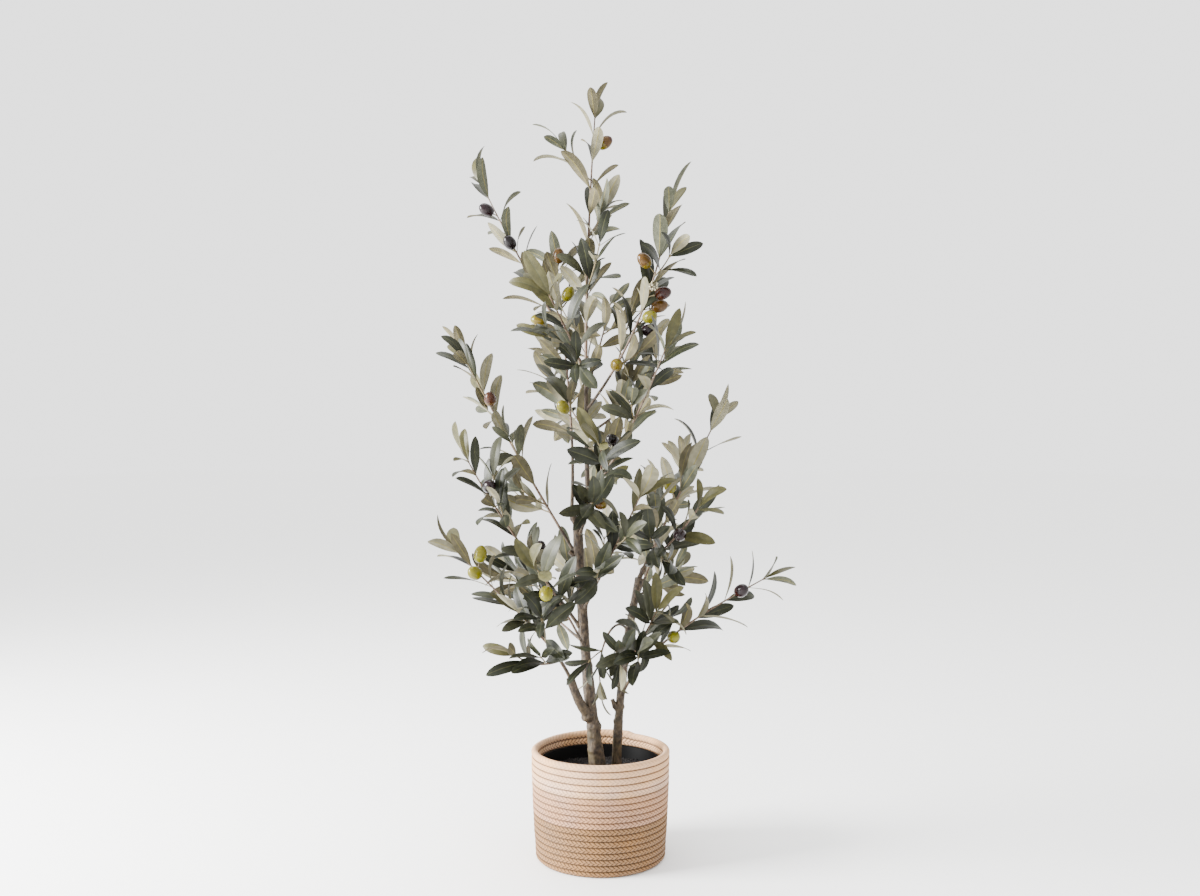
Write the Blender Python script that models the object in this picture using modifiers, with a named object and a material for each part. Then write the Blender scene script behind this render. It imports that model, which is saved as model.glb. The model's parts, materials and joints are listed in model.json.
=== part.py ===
"""Potted artificial olive tree, 1.22 m tall, in a stitched cotton-rope basket.

Metres, +Z up. The origin is the middle of the basket's flat underside. +X is to the
right of the tree's front and +Y is towards its back, so a heading of 0 degrees runs
to the right, 90 to the back, 180 to the left and 270 to the front.

Two woody stems rise from the potting fill. Boughs leave them and end where the
leaves begin, and a mass of foliage carries on along each bough's own route.
"""
import math
import random
from collections import namedtuple

import bmesh
import bpy
from mathutils import Matrix, Vector
from mathutils.bvhtree import BVHTree

NAME = "artificial_olive_tree"
GAP = 0.0003                  # between two solids that touch on the real object
WELD = 1e-6                   # corners nearer than this are one

# Basket: one cotton rope, coiled on itself and stitched
BASKET_HEIGHT = 0.168
RIM_RADIUS = 0.108
FOOT_RADIUS = 0.1005
BASKET_BELLY = 0.0013         # how far the side bulges past a straight cone
ROPE_THICK = 0.010
UPPER_ROWS = 5                # these rows of the coil lie a little further apart
UPPER_PITCH = 0.010
LOWER_ROWS = 13
GROOVE_DEPTH = 0.0022
FLAT_RADIUS = 0.0955          # the flat that the basket stands on
BASKET_SIDES = 24

# Liner: a tapered nursery pot with a turned-out lip
LINER_WALL = 0.0015
LINER_BASE_RADIUS = 0.078
LINER_TOP_RADIUS = 0.0932
LINER_TOP = 0.149
LIP_RADIUS = 0.0955
LIP_DROP = 0.004
LINER_SIDES = 24

SOIL_TOP = 0.1276

# Stems and boughs. A limb leaves its parent at a fraction of the parent's route. It
# starts at a heading and a rise, and turns and bends evenly over its length. Only the
# first part is bare, and the foliage takes the rest. Angles are in degrees and
# lengths in millimetres.
Limb = namedtuple("Limb", "name parent at heading turn rise bend length bare base tip")
Foliage = namedtuple("Foliage", "limb seed twigs twig_length leaf")

TRUNK_FOOT = (-0.003, -0.005)
STEM_FOOT = (0.025, 0.012)

LIMBS = (
    Limb("trunk", None, 0, 180, 0, 82.7, 5, 392, 392, 25, 15),
    Limb("second_stem", None, 0, 14, -4, 89, -12, 305, 305, 16, 12.5),
    Limb("left_stub", "trunk", 0.21, 219, 3, 48, 22, 86, 86, 16, 13),
    Limb("leader", "right_arm", 1.0, 0, 10, 92, -6, 610, 225, 8, 5.5),
    Limb("upper_left", "leader", 0.345, 156, -2, 55, 7, 360, 70, 4.8, 4),
    Limb("upper_right", "leader", 0.253, 330, -19, 47, 29, 335, 70, 5, 4),
    Limb("inner_left", "left_arm", 0.9, 135, -38, 95, -34, 405, 125, 6, 4),
    Limb("left_mid", "trunk", 0.85, 167, 0, 57, 5, 375, 60, 6.5, 4.5),
    Limb("left_low_mid", "trunk", 0.57, 191, 50, 55, -7, 345, 70, 6.5, 4.5),
    Limb("left_low", "left_stub", 0.98, 249, -88, 47, -3, 283, 75, 6, 4.5),
    Limb("left_bottom", "left_low", 0.17, 227, -5, -10, 45, 95, 25, 4, 3.5),
    Limb("right_low", "second_stem", 0.38, 295, 86, 52, -28, 323, 60, 6, 4.5),
    Limb("right_mid", "second_stem", 1.0, 24, 0, 62, -2, 293, 50, 8, 5),
    Limb("right_low_mid", "right_mid", 0.11, 286, 18, 14, 30, 190, 35, 5, 4),
    Limb("right_twig", "second_stem", 0.90, 52, -5, 14, 12, 115, 25, 4.5, 3.5),
    Limb("centre_right", "leader", 0.02, 310, -5, 44, 13, 290, 60, 6, 4),
    Limb("inner_right", "trunk", 0.65, 304, 0, 50, 1, 240, 55, 5.5, 4),
    Limb("droop", "second_stem", 0.70, 247, -5, 47, -150, 165, 75, 4, 3.5),
    Limb("back_low", "trunk", 0.67, 86, -18, 12, 23, 255, 50, 5.5, 4),
    Limb("back_left", "trunk", 0.53, 120, 5, 14, 12, 260, 55, 5.5, 4),
    Limb("back_right", "second_stem", 0.85, 57, 18, 49, -10, 305, 55, 5.5, 4),
    Limb("back_mid", "leader", 0.13, 78, 62, 11, 40, 265, 50, 5, 4),
    Limb("front_low", "trunk", 0.50, 251, 6, 40, -15, 270, 55, 5.5, 4),
    Limb("front_mid", "trunk", 0.93, 302, -42, 55, -38, 255, 50, 5, 4),
    Limb("right_front", "second_stem", 0.52, 295, -6, 40, 2, 165, 40, 5, 4),
    Limb("right_upper", "leader", 0.18, 7, 15, 30, 32, 205, 45, 4.5, 4),
    Limb("back_top", "leader", 0.30, 76, 0, 41, 7, 230, 45, 4.5, 4),
    Limb("front_top", "leader", 0.32, 267, -32, 25, 23, 205, 45, 4.5, 4),
)

# Spurs fused to a stem: the arms of the trunk's fork and the stubs of cut twigs
SPURS = (
    Limb("right_arm", "trunk", 0.97, 355, 0, 54, 16, 35, 35, 11, 9),
    Limb("left_arm", "trunk", 0.97, 190, 0, 66, 6, 30, 30, 10, 8),
    Limb("trunk_stub", "trunk", 0.86, 185, 0, 35, 8, 20, 20, 8, 7),
    Limb("stem_stub", "second_stem", 0.30, 195, 0, 62, 6, 26, 26, 8, 6.5),
)

# Foliage: the seed of each mass, its side twigs and how long they and its leaves are
FOLIAGE = (
    Foliage("leader", 63, 4, 85, 68),
    Foliage("upper_left", 46, 0, 75, 68),
    Foliage("upper_right", 11, 1, 80, 68),
    Foliage("inner_left", 26, 0, 80, 68),
    Foliage("left_mid", 16, 2, 80, 68),
    Foliage("left_low_mid", 48, 1, 75, 66),
    Foliage("left_low", 26, 1, 70, 64),
    Foliage("left_bottom", 73, 1, 50, 62),
    Foliage("right_low", 71, 1, 65, 66),
    Foliage("right_mid", 6, 1, 75, 68),
    Foliage("right_low_mid", 83, 1, 65, 66),
    Foliage("right_twig", 83, 0, 55, 66),
    Foliage("centre_right", 24, 1, 75, 70),
    Foliage("inner_right", 59, 1, 70, 68),
    Foliage("droop", 56, 0, 50, 60),
    Foliage("right_front", 17, 1, 65, 66),
    Foliage("right_upper", 5, 1, 70, 68),
    Foliage("back_low", 73, 1, 75, 70),
    Foliage("back_left", 88, 0, 75, 68),
    Foliage("back_right", 54, 1, 75, 68),
    Foliage("back_mid", 69, 1, 75, 70),
    Foliage("front_low", 38, 0, 70, 66),
    Foliage("front_mid", 28, 1, 70, 68),
    Foliage("back_top", 8, 0, 70, 68),
    Foliage("front_top", 86, 1, 70, 68),
)

# Olives: the mass that bears each one, how far along its stem, the way it hangs off
# the stem as a roll in degrees, and the length of its stalk in millimetres
Olive = namedtuple("Olive", "limb along roll stalk")
OLIVES = (
    Olive("leader", 0.86, 165, 9),
    Olive("upper_left", 0.78, 165, 9),
    Olive("upper_left", 0.54, 195, 9),
    Olive("upper_left", 0.08, 120, 13),
    Olive("inner_left", 0.98, 270, 13),
    Olive("inner_left", 0.74, 300, 11),
    Olive("inner_left", 0.08, 60, 11),
    Olive("upper_right", 0.64, 330, 13),
    Olive("upper_right", 0.50, 105, 13),
    Olive("upper_right", 0.42, 135, 13),
    Olive("upper_right", 0.36, 75, 13),
    Olive("upper_right", 0.28, 120, 13),
    Olive("upper_right", 0.04, 30, 9),
    Olive("left_mid", 0.68, 210, 9),
    Olive("centre_right", 0.22, 0, 13),
    Olive("left_low_mid", 0.78, 165, 13),
    Olive("left_low_mid", 0.26, 225, 13),
    Olive("right_mid", 0.36, 270, 13),
    Olive("front_mid", 0.16, 105, 9),
    Olive("left_low", 0.80, 270, 13),
    Olive("left_low", 0.74, 180, 11),
    Olive("right_low_mid", 0.62, 45, 9),
    Olive("front_low", 0.76, 105, 13),
    Olive("right_low", 0.78, 345, 9),
    Olive("right_low", 0.34, 15, 9),
)

# Stems: how they taper, flare at the foot and swell at their knots
STEM_TAPER = 3.0
FLARE = 0.10
KNOT = 0.06
STEM_SIDES = 8
LIMB_STEP = 0.028             # between two rings of a limb
BOUGH_SIDES = 6

# Growth rule
INTERNODE = 0.042             # between two pairs of leaves on a stem
TWIG_INTERNODE = 0.038
LEAF_WIDTH = 0.30             # of a leaf's length
LEAF_THICK = 0.022
ARCH = (0.01, 0.15)           # how far a leaf's tip bends back, of its length
SPREAD = (25, 46)             # degrees between a leaf and its twig
TWIG_SPREAD = (38, 58)
TWIG_BASE = 0.0030            # twig diameters
TWIG_TIP = 0.0020
CLEARANCE = 0.0006            # kept round a leaf or a twig when it is placed
LEAF_ROOT = 0.2               # share of a leaf that may touch its own mass
LEAF_TWIST = 35               # degrees either way that a leaf twists about its rib
GOLDEN_ANGLE = 137.5          # degrees round the stem from one side twig to the next
TWIG_FIRST = 0.08             # where the side twigs begin, of a stem's leafy part
TWIG_ZONE = 0.66              # how much of the leafy part they are spread over
TIP_INTERNODE = 0.030         # from the last pair of leaves to the tip of the stem
TRIES = 5                     # places that are tried for a leaf or a twig
LEAF_DODGE = 24               # degrees that a leaf is turned between two tries
TWIG_DODGE = 35
OLIVE_LENGTH = 0.0270
OLIVE_WIDTH = 0.0195
STALK = 0.0020                # diameter of an olive's stalk
OLIVE_SPREAD = 55             # degrees between a stem and its olives' stalks

BARK = (0.185, 0.130, 0.088, 1)
TWIG_GREEN = (0.105, 0.125, 0.070, 1)
ROPE = (0.600, 0.450, 0.310, 1)
BLACK = (0.012, 0.012, 0.012, 1)
FILL = (0.030, 0.022, 0.016, 1)


def clear_scene():
    for item in list(bpy.data.objects):
        bpy.data.objects.remove(item, do_unlink=True)


def new_collection(name):
    collection = bpy.data.collections.new(name)
    bpy.context.scene.collection.children.link(collection)
    return collection


def material(name, colour, roughness):
    made = bpy.data.materials.new(name)
    made.use_nodes = True
    shader = made.node_tree.nodes["Principled BSDF"]
    shader.inputs["Base Color"].default_value = colour
    shader.inputs["Roughness"].default_value = roughness
    return made


def mesh_object(name, mesh, collection):
    made = bpy.data.objects.new(name, mesh)
    collection.objects.link(made)
    return made


def evaluated_mesh(source):
    bpy.context.view_layer.update()
    graph = bpy.context.evaluated_depsgraph_get()
    return bpy.data.meshes.new_from_object(source.evaluated_get(graph))


def smooth(part, angle=40):
    part.data.shade_smooth()
    part.data.set_sharp_from_angle(angle=math.radians(angle))


def turned(name, profile, sides, collection):
    """Solid turned about Z from a profile that runs from the axis, up the inner side,
    over the top, down the outer side and back to the axis."""
    mesh = bpy.data.meshes.new(name)
    edges = [(i, i + 1) for i in range(len(profile) - 1)]
    mesh.from_pydata([(radius, 0, height) for radius, height in profile], edges, [])
    part = mesh_object(name, mesh, collection)
    screw = part.modifiers.new("turn", "SCREW")
    screw.steps = sides
    screw.render_steps = sides
    screw.use_merge_vertices = True
    screw.merge_threshold = 0.0001
    return part


# ---------------------------------------------------------------- pot

def basket_radius(height):
    share = height / BASKET_HEIGHT
    cone = FOOT_RADIUS + (RIM_RADIUS - FOOT_RADIUS) * share
    return cone + BASKET_BELLY * math.sin(math.pi * share)


def rope_grooves():
    """Heights of the grooves between the rows of rope, from the top down."""
    split = BASKET_HEIGHT - UPPER_ROWS * UPPER_PITCH
    upper = [BASKET_HEIGHT - UPPER_PITCH * row for row in range(1, UPPER_ROWS)]
    lower_pitch = split / LOWER_ROWS
    return upper + [split - lower_pitch * row for row in range(LOWER_ROWS)]


def basket(collection):
    rim_curl = ROPE_THICK / 2
    floor_radius = FOOT_RADIUS - ROPE_THICK
    inner_rim = RIM_RADIUS - ROPE_THICK
    profile = [(0, ROPE_THICK), (floor_radius - 0.002, ROPE_THICK)]
    profile += [(floor_radius, ROPE_THICK + 0.002)]
    for step in range(5):
        angle = math.radians(180 - 45 * step)
        profile.append((inner_rim + rim_curl * (1 + math.cos(angle)),
                        BASKET_HEIGHT - rim_curl * (1 - math.sin(angle))))
    grooves = rope_grooves()
    for upper, lower in zip(grooves, grooves[1:]):
        row = upper - lower
        profile.append((basket_radius(upper) - GROOVE_DEPTH, upper))
        profile.append((basket_radius(upper - row / 2), upper - row / 2))
    last = grooves[-1]
    profile.append((basket_radius(last) - GROOVE_DEPTH, last))
    profile.append((basket_radius(last), last * 0.72))
    profile.append((FOOT_RADIUS - 0.0008, last * 0.35))
    profile += [(FLAT_RADIUS, 0), (0, 0)]
    part = turned("rope_basket", profile, BASKET_SIDES, collection)
    part.data.materials.append(material("cotton rope", ROPE, 0.9))
    return part


def liner(collection):
    base = ROPE_THICK + GAP
    neck = LINER_TOP - LIP_DROP
    profile = [
        (0, base + LINER_WALL),
        (LINER_BASE_RADIUS - LINER_WALL, base + LINER_WALL),
        (LINER_TOP_RADIUS - LINER_WALL, LINER_TOP),
        (LIP_RADIUS, LINER_TOP),
        (LIP_RADIUS, neck),
        (LINER_TOP_RADIUS, neck),
        (LINER_BASE_RADIUS, base),
        (0, base),
    ]
    part = turned("liner_pot", profile, LINER_SIDES, collection)
    part.data.materials.append(material("black plastic", BLACK, 0.45))
    return part


def soil(collection):
    base = ROPE_THICK + LINER_WALL + 2 * GAP
    share = (SOIL_TOP - ROPE_THICK) / (LINER_TOP - ROPE_THICK)
    widening = LINER_TOP_RADIUS - LINER_BASE_RADIUS
    clear = LINER_WALL + 2 * GAP
    profile = [
        (0, SOIL_TOP),
        (LINER_BASE_RADIUS + widening * share - clear, SOIL_TOP),
        (LINER_BASE_RADIUS - clear, base),
        (0, base),
    ]
    part = turned("potting_fill", profile, LINER_SIDES, collection)
    part.data.materials.append(material("potting fill", FILL, 1.0))
    return part


# ---------------------------------------------------------------- limbs

def heading_vector(heading, rise):
    flat = math.cos(math.radians(rise))
    return Vector((flat * math.cos(math.radians(heading)),
                   flat * math.sin(math.radians(heading)),
                   math.sin(math.radians(rise))))


def limb_route(limb, start, steps=48):
    """Points along the whole limb, its leafy part included."""
    points = [Vector(start)]
    stride = limb.length / 1000 / steps
    for step in range(steps):
        share = (step + 0.5) / steps
        toward = heading_vector(limb.heading + limb.turn * share,
                                limb.rise + limb.bend * share)
        points.append(points[-1] + toward * stride)
    return points


def point_on(points, distance):
    """Point and direction at a distance along a route of even steps."""
    stride = (points[1] - points[0]).length
    place = min(max(distance / stride, 0), len(points) - 1.001)
    index = int(place)
    here, there = points[index], points[index + 1]
    return here.lerp(there, place - index), (there - here).normalized()


def route_part(points, start, end, count):
    """Evenly spaced points between two distances along a route."""
    return [point_on(points, start + (end - start) * i / (count - 1))[0]
            for i in range(count)]


def triangle_section(collection):
    """Three-sided section of radius 1 that twigs are drawn along."""
    curve = bpy.data.curves.new("triangle", "CURVE")
    curve.dimensions = "2D"
    spline = curve.splines.new("POLY")
    spline.points.add(2)
    for index, point in enumerate(spline.points):
        angle = math.radians(90 + 120 * index)
        point.co = (math.cos(angle), math.sin(angle), 0, 1)
    spline.use_cyclic_u = True
    section = mesh_object("triangle", curve, collection)
    section.hide_render = True
    section.display_type = "WIRE"
    return section


def tube(name, points, radii, collection, sides=8, section=None):
    """Tapering tube along the points with flat closed ends, as a mesh."""
    curve = bpy.data.curves.new(name, "CURVE")
    curve.dimensions = "3D"
    curve.use_fill_caps = True
    if section is None:
        curve.bevel_depth = 1
        curve.bevel_resolution = (sides - 4) // 2
    else:
        curve.bevel_mode = "OBJECT"
        curve.bevel_object = section
    spline = curve.splines.new("POLY")
    spline.points.add(len(points) - 1)
    for point, place, radius in zip(spline.points, points, radii):
        point.co = (*place, 1)
        point.radius = radius
    drawn = mesh_object(name + "_curve", curve, collection)
    mesh = evaluated_mesh(drawn)
    bpy.data.objects.remove(drawn, do_unlink=True)
    bm = bmesh.new()
    bm.from_mesh(mesh)
    bmesh.ops.remove_doubles(bm, verts=bm.verts, dist=WELD)
    bmesh.ops.recalc_face_normals(bm, faces=bm.faces)
    bm.to_mesh(mesh)
    bm.free()
    return mesh_object(name, mesh, collection)


def taper(base, tip, count, power=1.0):
    """Radii in metres of a limb whose diameters are given in millimetres."""
    return [(tip + (base - tip) * (1 - i / (count - 1)) ** power) / 2000
            for i in range(count)]


def tree_of(part):
    graph = bpy.context.evaluated_depsgraph_get()
    return BVHTree.FromObject(part, graph)


def subtract(part, cutter):
    cut = part.modifiers.new("clear of " + cutter.name, "BOOLEAN")
    cut.operation = "DIFFERENCE"
    cut.object = cutter


class Tree:
    """The limbs that have been made, their routes and their cutters."""

    def __init__(self, parts, cutters):
        self.parts = parts
        self.cutters = cutters
        self.routes = {}
        self.fat = {}
        self.bark = material("bark", BARK, 0.8)
        self.foliage = material("leaves", TWIG_GREEN, 0.6)

    def route(self, limb):
        foot = SOIL_TOP + GAP
        if limb.name == "trunk":
            start = Vector((*TRUNK_FOOT, foot))
        elif limb.name == "second_stem":
            start = Vector((*STEM_FOOT, foot))
        else:
            parent = self.routes[limb.parent]
            start = parent[round(limb.at * (len(parent) - 1))]
        self.routes[limb.name] = limb_route(limb, start)
        return self.routes[limb.name]


def limb_radii(limb, count):
    """Tapering radii, with a root flare at the foot and low knots on the stems."""
    if limb.parent is not None:
        return taper(limb.base, limb.tip, count)
    radii = taper(limb.base, limb.tip, count, STEM_TAPER)
    for index in range(count):
        share = index / (count - 1)
        radii[index] *= 1 + FLARE * math.exp(-share * 14)
        radii[index] *= 1 + KNOT * math.sin(share * 23 + limb.base)
    return radii


def fuse(part, pieces):
    """Join the pieces of a collection to the part, then remove them."""
    union = part.modifiers.new("join", "BOOLEAN")
    union.operation = "UNION"
    union.operand_type = "COLLECTION"
    union.collection = pieces
    for solver in ("EXACT", "MANIFOLD"):
        union.solver = solver
        joined = evaluated_mesh(part)
        if keep_largest(joined):
            break
    part.modifiers.clear()
    part.data = joined
    for piece in list(pieces.objects):
        bpy.data.objects.remove(piece, do_unlink=True)
    bpy.data.collections.remove(pieces)


def bare_part(limb, route):
    """Points and radii of the rings of a limb's bare part."""
    bare = limb.bare / 1000
    count = max(3, round(bare / LIMB_STEP))
    points = route_part(route, 0, bare, count)
    if limb.parent is None:
        points[1].x = points[0].x
        points[1].y = points[0].y
    return points, limb_radii(limb, count)


def limb_tube(limb, tree, collection):
    """The bare part of a limb, and the cutter that keeps other limbs clear of it."""
    points, radii = bare_part(limb, tree.route(limb))
    sides = STEM_SIDES if limb.parent is None else BOUGH_SIDES
    first = (points[1] - points[0]).normalized()
    last = (points[-1] - points[-2]).normalized()
    longer = [points[0] - first * GAP] + points[1:-1] + [points[-1] + last * GAP]
    wider = [radius + GAP for radius in radii]
    fat = tube("clear_of_" + limb.name, longer, wider, tree.cutters, sides)
    fat.hide_render = True
    fat.display_type = "WIRE"
    tree.fat[limb.name] = fat
    return tube(limb.name, points, radii, collection, sides)


def bough(limb, tree):
    older = list(tree.fat.values())
    part = limb_tube(limb, tree, tree.parts)
    spurs = [spur for spur in SPURS if spur.parent == limb.name]
    if spurs:
        pieces = new_collection("pieces")
        for spur in spurs:
            limb_tube(spur, tree, pieces)
        fuse(part, pieces)
    part.data.materials.clear()
    part.data.materials.append(tree.bark)
    shape = tree_of(part)
    for fat in older:
        if shape.overlap(tree_of(fat)):
            subtract(part, fat)
    return part


# ---------------------------------------------------------------- foliage

Leaf = namedtuple("Leaf", "root along face length width arch")
Twig = namedtuple("Twig", "points base tip")
Fruit = namedtuple("Fruit", "root along stalk")


def across(direction, roll):
    """Unit vector square to a direction, turned about it by a roll in degrees."""
    steady = Vector((0, 0, 1)) if abs(direction.z) < 0.95 else Vector((0, 1, 0))
    side = direction.cross(steady).normalized()
    return Matrix.Rotation(math.radians(roll), 3, direction) @ side


def leaning(direction, roll, spread):
    """Direction that leans away from a twig by a spread in degrees."""
    lean = math.radians(spread)
    return direction * math.cos(lean) + across(direction, roll) * math.sin(lean)


def leaf_points(leaf, extra=0.0, root=0.0):
    """Outline of a leaf, root first and anticlockwise, then the ridge of its upper
    side. Extra thickens it on all sides, and root leaves out its first part."""
    side = leaf.face.cross(leaf.along)
    half = leaf.width / 2 + extra
    thick = LEAF_THICK * leaf.length

    def place(share, breadth, lift):
        drop = leaf.arch * leaf.length * share ** 2
        return (leaf.root + leaf.along * (leaf.length * share)
                + side * (half * breadth) + leaf.face * (lift - drop))

    outline = [(root, 0), (0.36, -0.8), (0.74, -1), (1, 0), (0.74, 1), (0.36, 0.8)]
    return ([place(share, breadth, -extra) for share, breadth in outline]
            + [place(0.55, 0, thick + extra)])


LEAF_FACES = [(i, (i + 1) % 6, 6) for i in range(6)] + [(0, 5, 1), (1, 5, 4, 2), (2, 4, 3)]


def leaf_tree(leaf, root=0.0):
    points = leaf_points(leaf, extra=CLEARANCE, root=root)
    return BVHTree.FromPolygons(points, LEAF_FACES)


def tube_tree(points, radii, sides):
    """Search tree of a tube with clear air round it."""
    corners, faces = [], []
    count = len(points)
    wider = 1 / math.cos(math.pi / sides)
    for index, (place, radius) in enumerate(zip(points, radii)):
        ahead = points[min(index + 1, count - 1)]
        behind = points[max(index - 1, 0)]
        direction = (ahead - behind).normalized()
        for corner in range(sides):
            out = across(direction, 360 * corner / sides)
            corners.append(place + out * (radius + CLEARANCE) * wider)
    for index in range(count - 1):
        low = sides * index
        for corner in range(sides):
            after = (corner + 1) % sides
            faces.append((low + corner, low + after, low + after + sides,
                          low + corner + sides))
    return BVHTree.FromPolygons(corners, faces)


def twig_tree(twig):
    radii = taper(twig.base * 1000, twig.tip * 1000, len(twig.points))
    return tube_tree(twig.points, radii, 4)


def limb_tree(limb, route):
    return tube_tree(*bare_part(limb, route), STEM_SIDES)


def fruit_tree(fruit):
    middle = fruit.root + fruit.along * (fruit.stalk + OLIVE_LENGTH / 2)
    points, faces = [], []
    for step in range(6):
        points.append(middle + across(fruit.along, 60 * step) * (OLIVE_WIDTH / 2 + CLEARANCE))
        faces += [(step, (step + 1) % 6, 6), (step, (step + 1) % 6, 7)]
    for sign in (-1, 1):
        points.append(middle + fruit.along * sign * (OLIVE_LENGTH / 2 + CLEARANCE))
    return BVHTree.FromPolygons(points, faces)


class Growth:
    """What has grown so far, so that new twigs and leaves keep clear of it. Each mass
    keeps the place of its stem and its olives from the start."""

    def __init__(self, limb_trees):
        self.limbs = list(limb_trees)
        self.whole = {}
        self.rootless = {}
        self.name = None

    def keep(self, name, shapes):
        self.whole[name] = list(shapes)
        self.rootless[name] = list(shapes)

    def add_if_clear(self, shape, whole):
        """Add a shape if it is clear: as a whole of the limbs and the other masses, and
        without its root of its own mass."""
        if any(whole.overlap(limb) for limb in self.limbs):
            return False
        for name, pieces in self.whole.items():
            if name != self.name and any(whole.overlap(piece) for piece in pieces):
                return False
        if any(shape.overlap(piece) for piece in self.rootless[self.name]):
            return False
        self.whole[self.name].append(whole)
        self.rootless[self.name].append(shape)
        return True


def leaf_at(place, direction, roll, spread, size, rng):
    along = leaning(direction, roll, spread).normalized()
    face = direction - along * direction.dot(along)
    twist = Matrix.Rotation(math.radians(rng.uniform(-LEAF_TWIST, LEAF_TWIST)), 3, along)
    length = size * rng.uniform(0.84, 1.20)
    width = length * LEAF_WIDTH * rng.uniform(0.9, 1.15)
    return Leaf(place, along, twist @ face.normalized(), length, width,
                rng.uniform(*ARCH))


def try_leaf(place, direction, roll, size, rng, growth, leaves, spread=None):
    """Add a leaf, turned or lifted until it is clear of the rest, or skip it."""
    for attempt in range(TRIES):
        turn = roll + attempt * rng.choice((-LEAF_DODGE, LEAF_DODGE))
        lean = spread if spread is not None else rng.uniform(*SPREAD)
        leaf = leaf_at(place, direction, turn, lean, size, rng)
        if growth.add_if_clear(leaf_tree(leaf, LEAF_ROOT), leaf_tree(leaf)):
            leaves.append(leaf)
            return


def end_cluster(points, size, rng, growth, leaves):
    """A leaf that carries the twig on, with a pair beside it."""
    tip = points[-1]
    direction = (points[-1] - points[-2]).normalized()
    roll = rng.uniform(0, 360)
    back = tip - direction * 0.0015
    try_leaf(back, direction, roll, size, rng, growth, leaves, rng.uniform(3, 10))
    for side in (0, 180):
        place = tip - direction * 0.004
        try_leaf(place, direction, roll + 90 + side, size * 0.85, rng, growth, leaves,
                 rng.uniform(28, 42))


def side_twig(route, distance, roll, length, rng, size, growth, leaves, twigs):
    """A side twig with its own pairs of leaves, bent back towards its stem."""
    place, direction = point_on(route, distance)
    for attempt in range(TRIES):
        turn = roll + attempt * rng.choice((-TWIG_DODGE, TWIG_DODGE))
        toward = leaning(direction, turn, rng.uniform(*TWIG_SPREAD))
        lift = (direction + Vector((0, 0, 0.4))).normalized()
        points = [place.copy()]
        steps = 3
        for step in range(steps):
            heading = toward.lerp(lift, 0.5 * step / steps).normalized()
            points.append(points[-1] + heading * (length / steps))
        twig = Twig(points, TWIG_BASE, TWIG_TIP)
        outer = Twig(points[1:], TWIG_BASE, TWIG_TIP)
        if growth.add_if_clear(twig_tree(outer), twig_tree(twig)):
            break
    else:
        return
    twigs.append(twig)
    end_cluster(points, size * 0.95, rng, growth, leaves)
    pairs = max(1, round((length - 0.022) / TWIG_INTERNODE))
    first_roll = rng.uniform(0, 180)
    for pair in range(pairs):
        spot, way = point_on(points, length - TWIG_INTERNODE * (pair + 0.85))
        for side in (0, 180):
            try_leaf(spot, way, first_roll + 90 * pair + side, size * 0.95, rng,
                     growth, leaves)


def stem_start(limb, route):
    """Distance along a limb at which the flat end of its leafy part clears its bough,
    which takes a wider gap where the limb bends."""
    bare = limb.bare / 1000
    before = point_on(route, bare - LIMB_STEP / 2)[1]
    after = point_on(route, bare + LIMB_STEP / 2)[1]
    return bare + GAP + limb.tip / 2000 * math.sin(before.angle(after))


def stem_of(limb, route):
    """The leafy part of a limb, which carries on from its bough."""
    start = stem_start(limb, route)
    end = limb.length / 1000
    count = max(4, round((end - start) / LIMB_STEP))
    return Twig(route_part(route, start, end, count), limb.tip / 1000, TWIG_TIP)


def fruits_of(limb, route):
    start = stem_start(limb, route)
    leafy = limb.length / 1000 - start
    fruits = []
    for olive in OLIVES:
        if olive.limb == limb.name:
            place, direction = point_on(route, start + leafy * olive.along)
            fruits.append(Fruit(place, leaning(direction, olive.roll, OLIVE_SPREAD).normalized(),
                                olive.stalk / 1000))
    return fruits


def kept_shapes(stem, fruits):
    shapes = [twig_tree(stem)]
    for fruit in fruits:
        stalk = [fruit.root, fruit.root + fruit.along * fruit.stalk]
        shapes += [fruit_tree(fruit), twig_tree(Twig(stalk, STALK, STALK))]
    return shapes


def grow(foliage, limb, route, growth):
    """Twigs, leaves and fruit of one mass, by a rule that the seed alone varies."""
    rng = random.Random(foliage.seed)
    start = stem_start(limb, route)
    end = limb.length / 1000
    leafy = end - start
    size = foliage.leaf / 1000
    stem = stem_of(limb, route)
    leaves, twigs = [], [stem]
    growth.name = limb.name
    end_cluster(stem.points, size, rng, growth, leaves)
    roll = rng.uniform(0, 360)
    for index in range(foliage.twigs):
        share = TWIG_FIRST + TWIG_ZONE * index / max(1, foliage.twigs - 1)
        length = foliage.twig_length / 1000 * (1.1 - 0.45 * share)
        length *= rng.uniform(0.85, 1.15)
        side_twig(route, start + leafy * share, roll + GOLDEN_ANGLE * index, length, rng,
                  size, growth, leaves, twigs)
    pairs = int((leafy - 0.02) / INTERNODE)
    for pair in range(pairs):
        distance = end - TIP_INTERNODE - INTERNODE * pair
        spot, way = point_on(route, distance)
        for side in (0, 180):
            try_leaf(spot, way, roll + 45 + 90 * pair + side, size, rng, growth, leaves)
    return twigs, leaves, fruits_of(limb, route)


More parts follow.
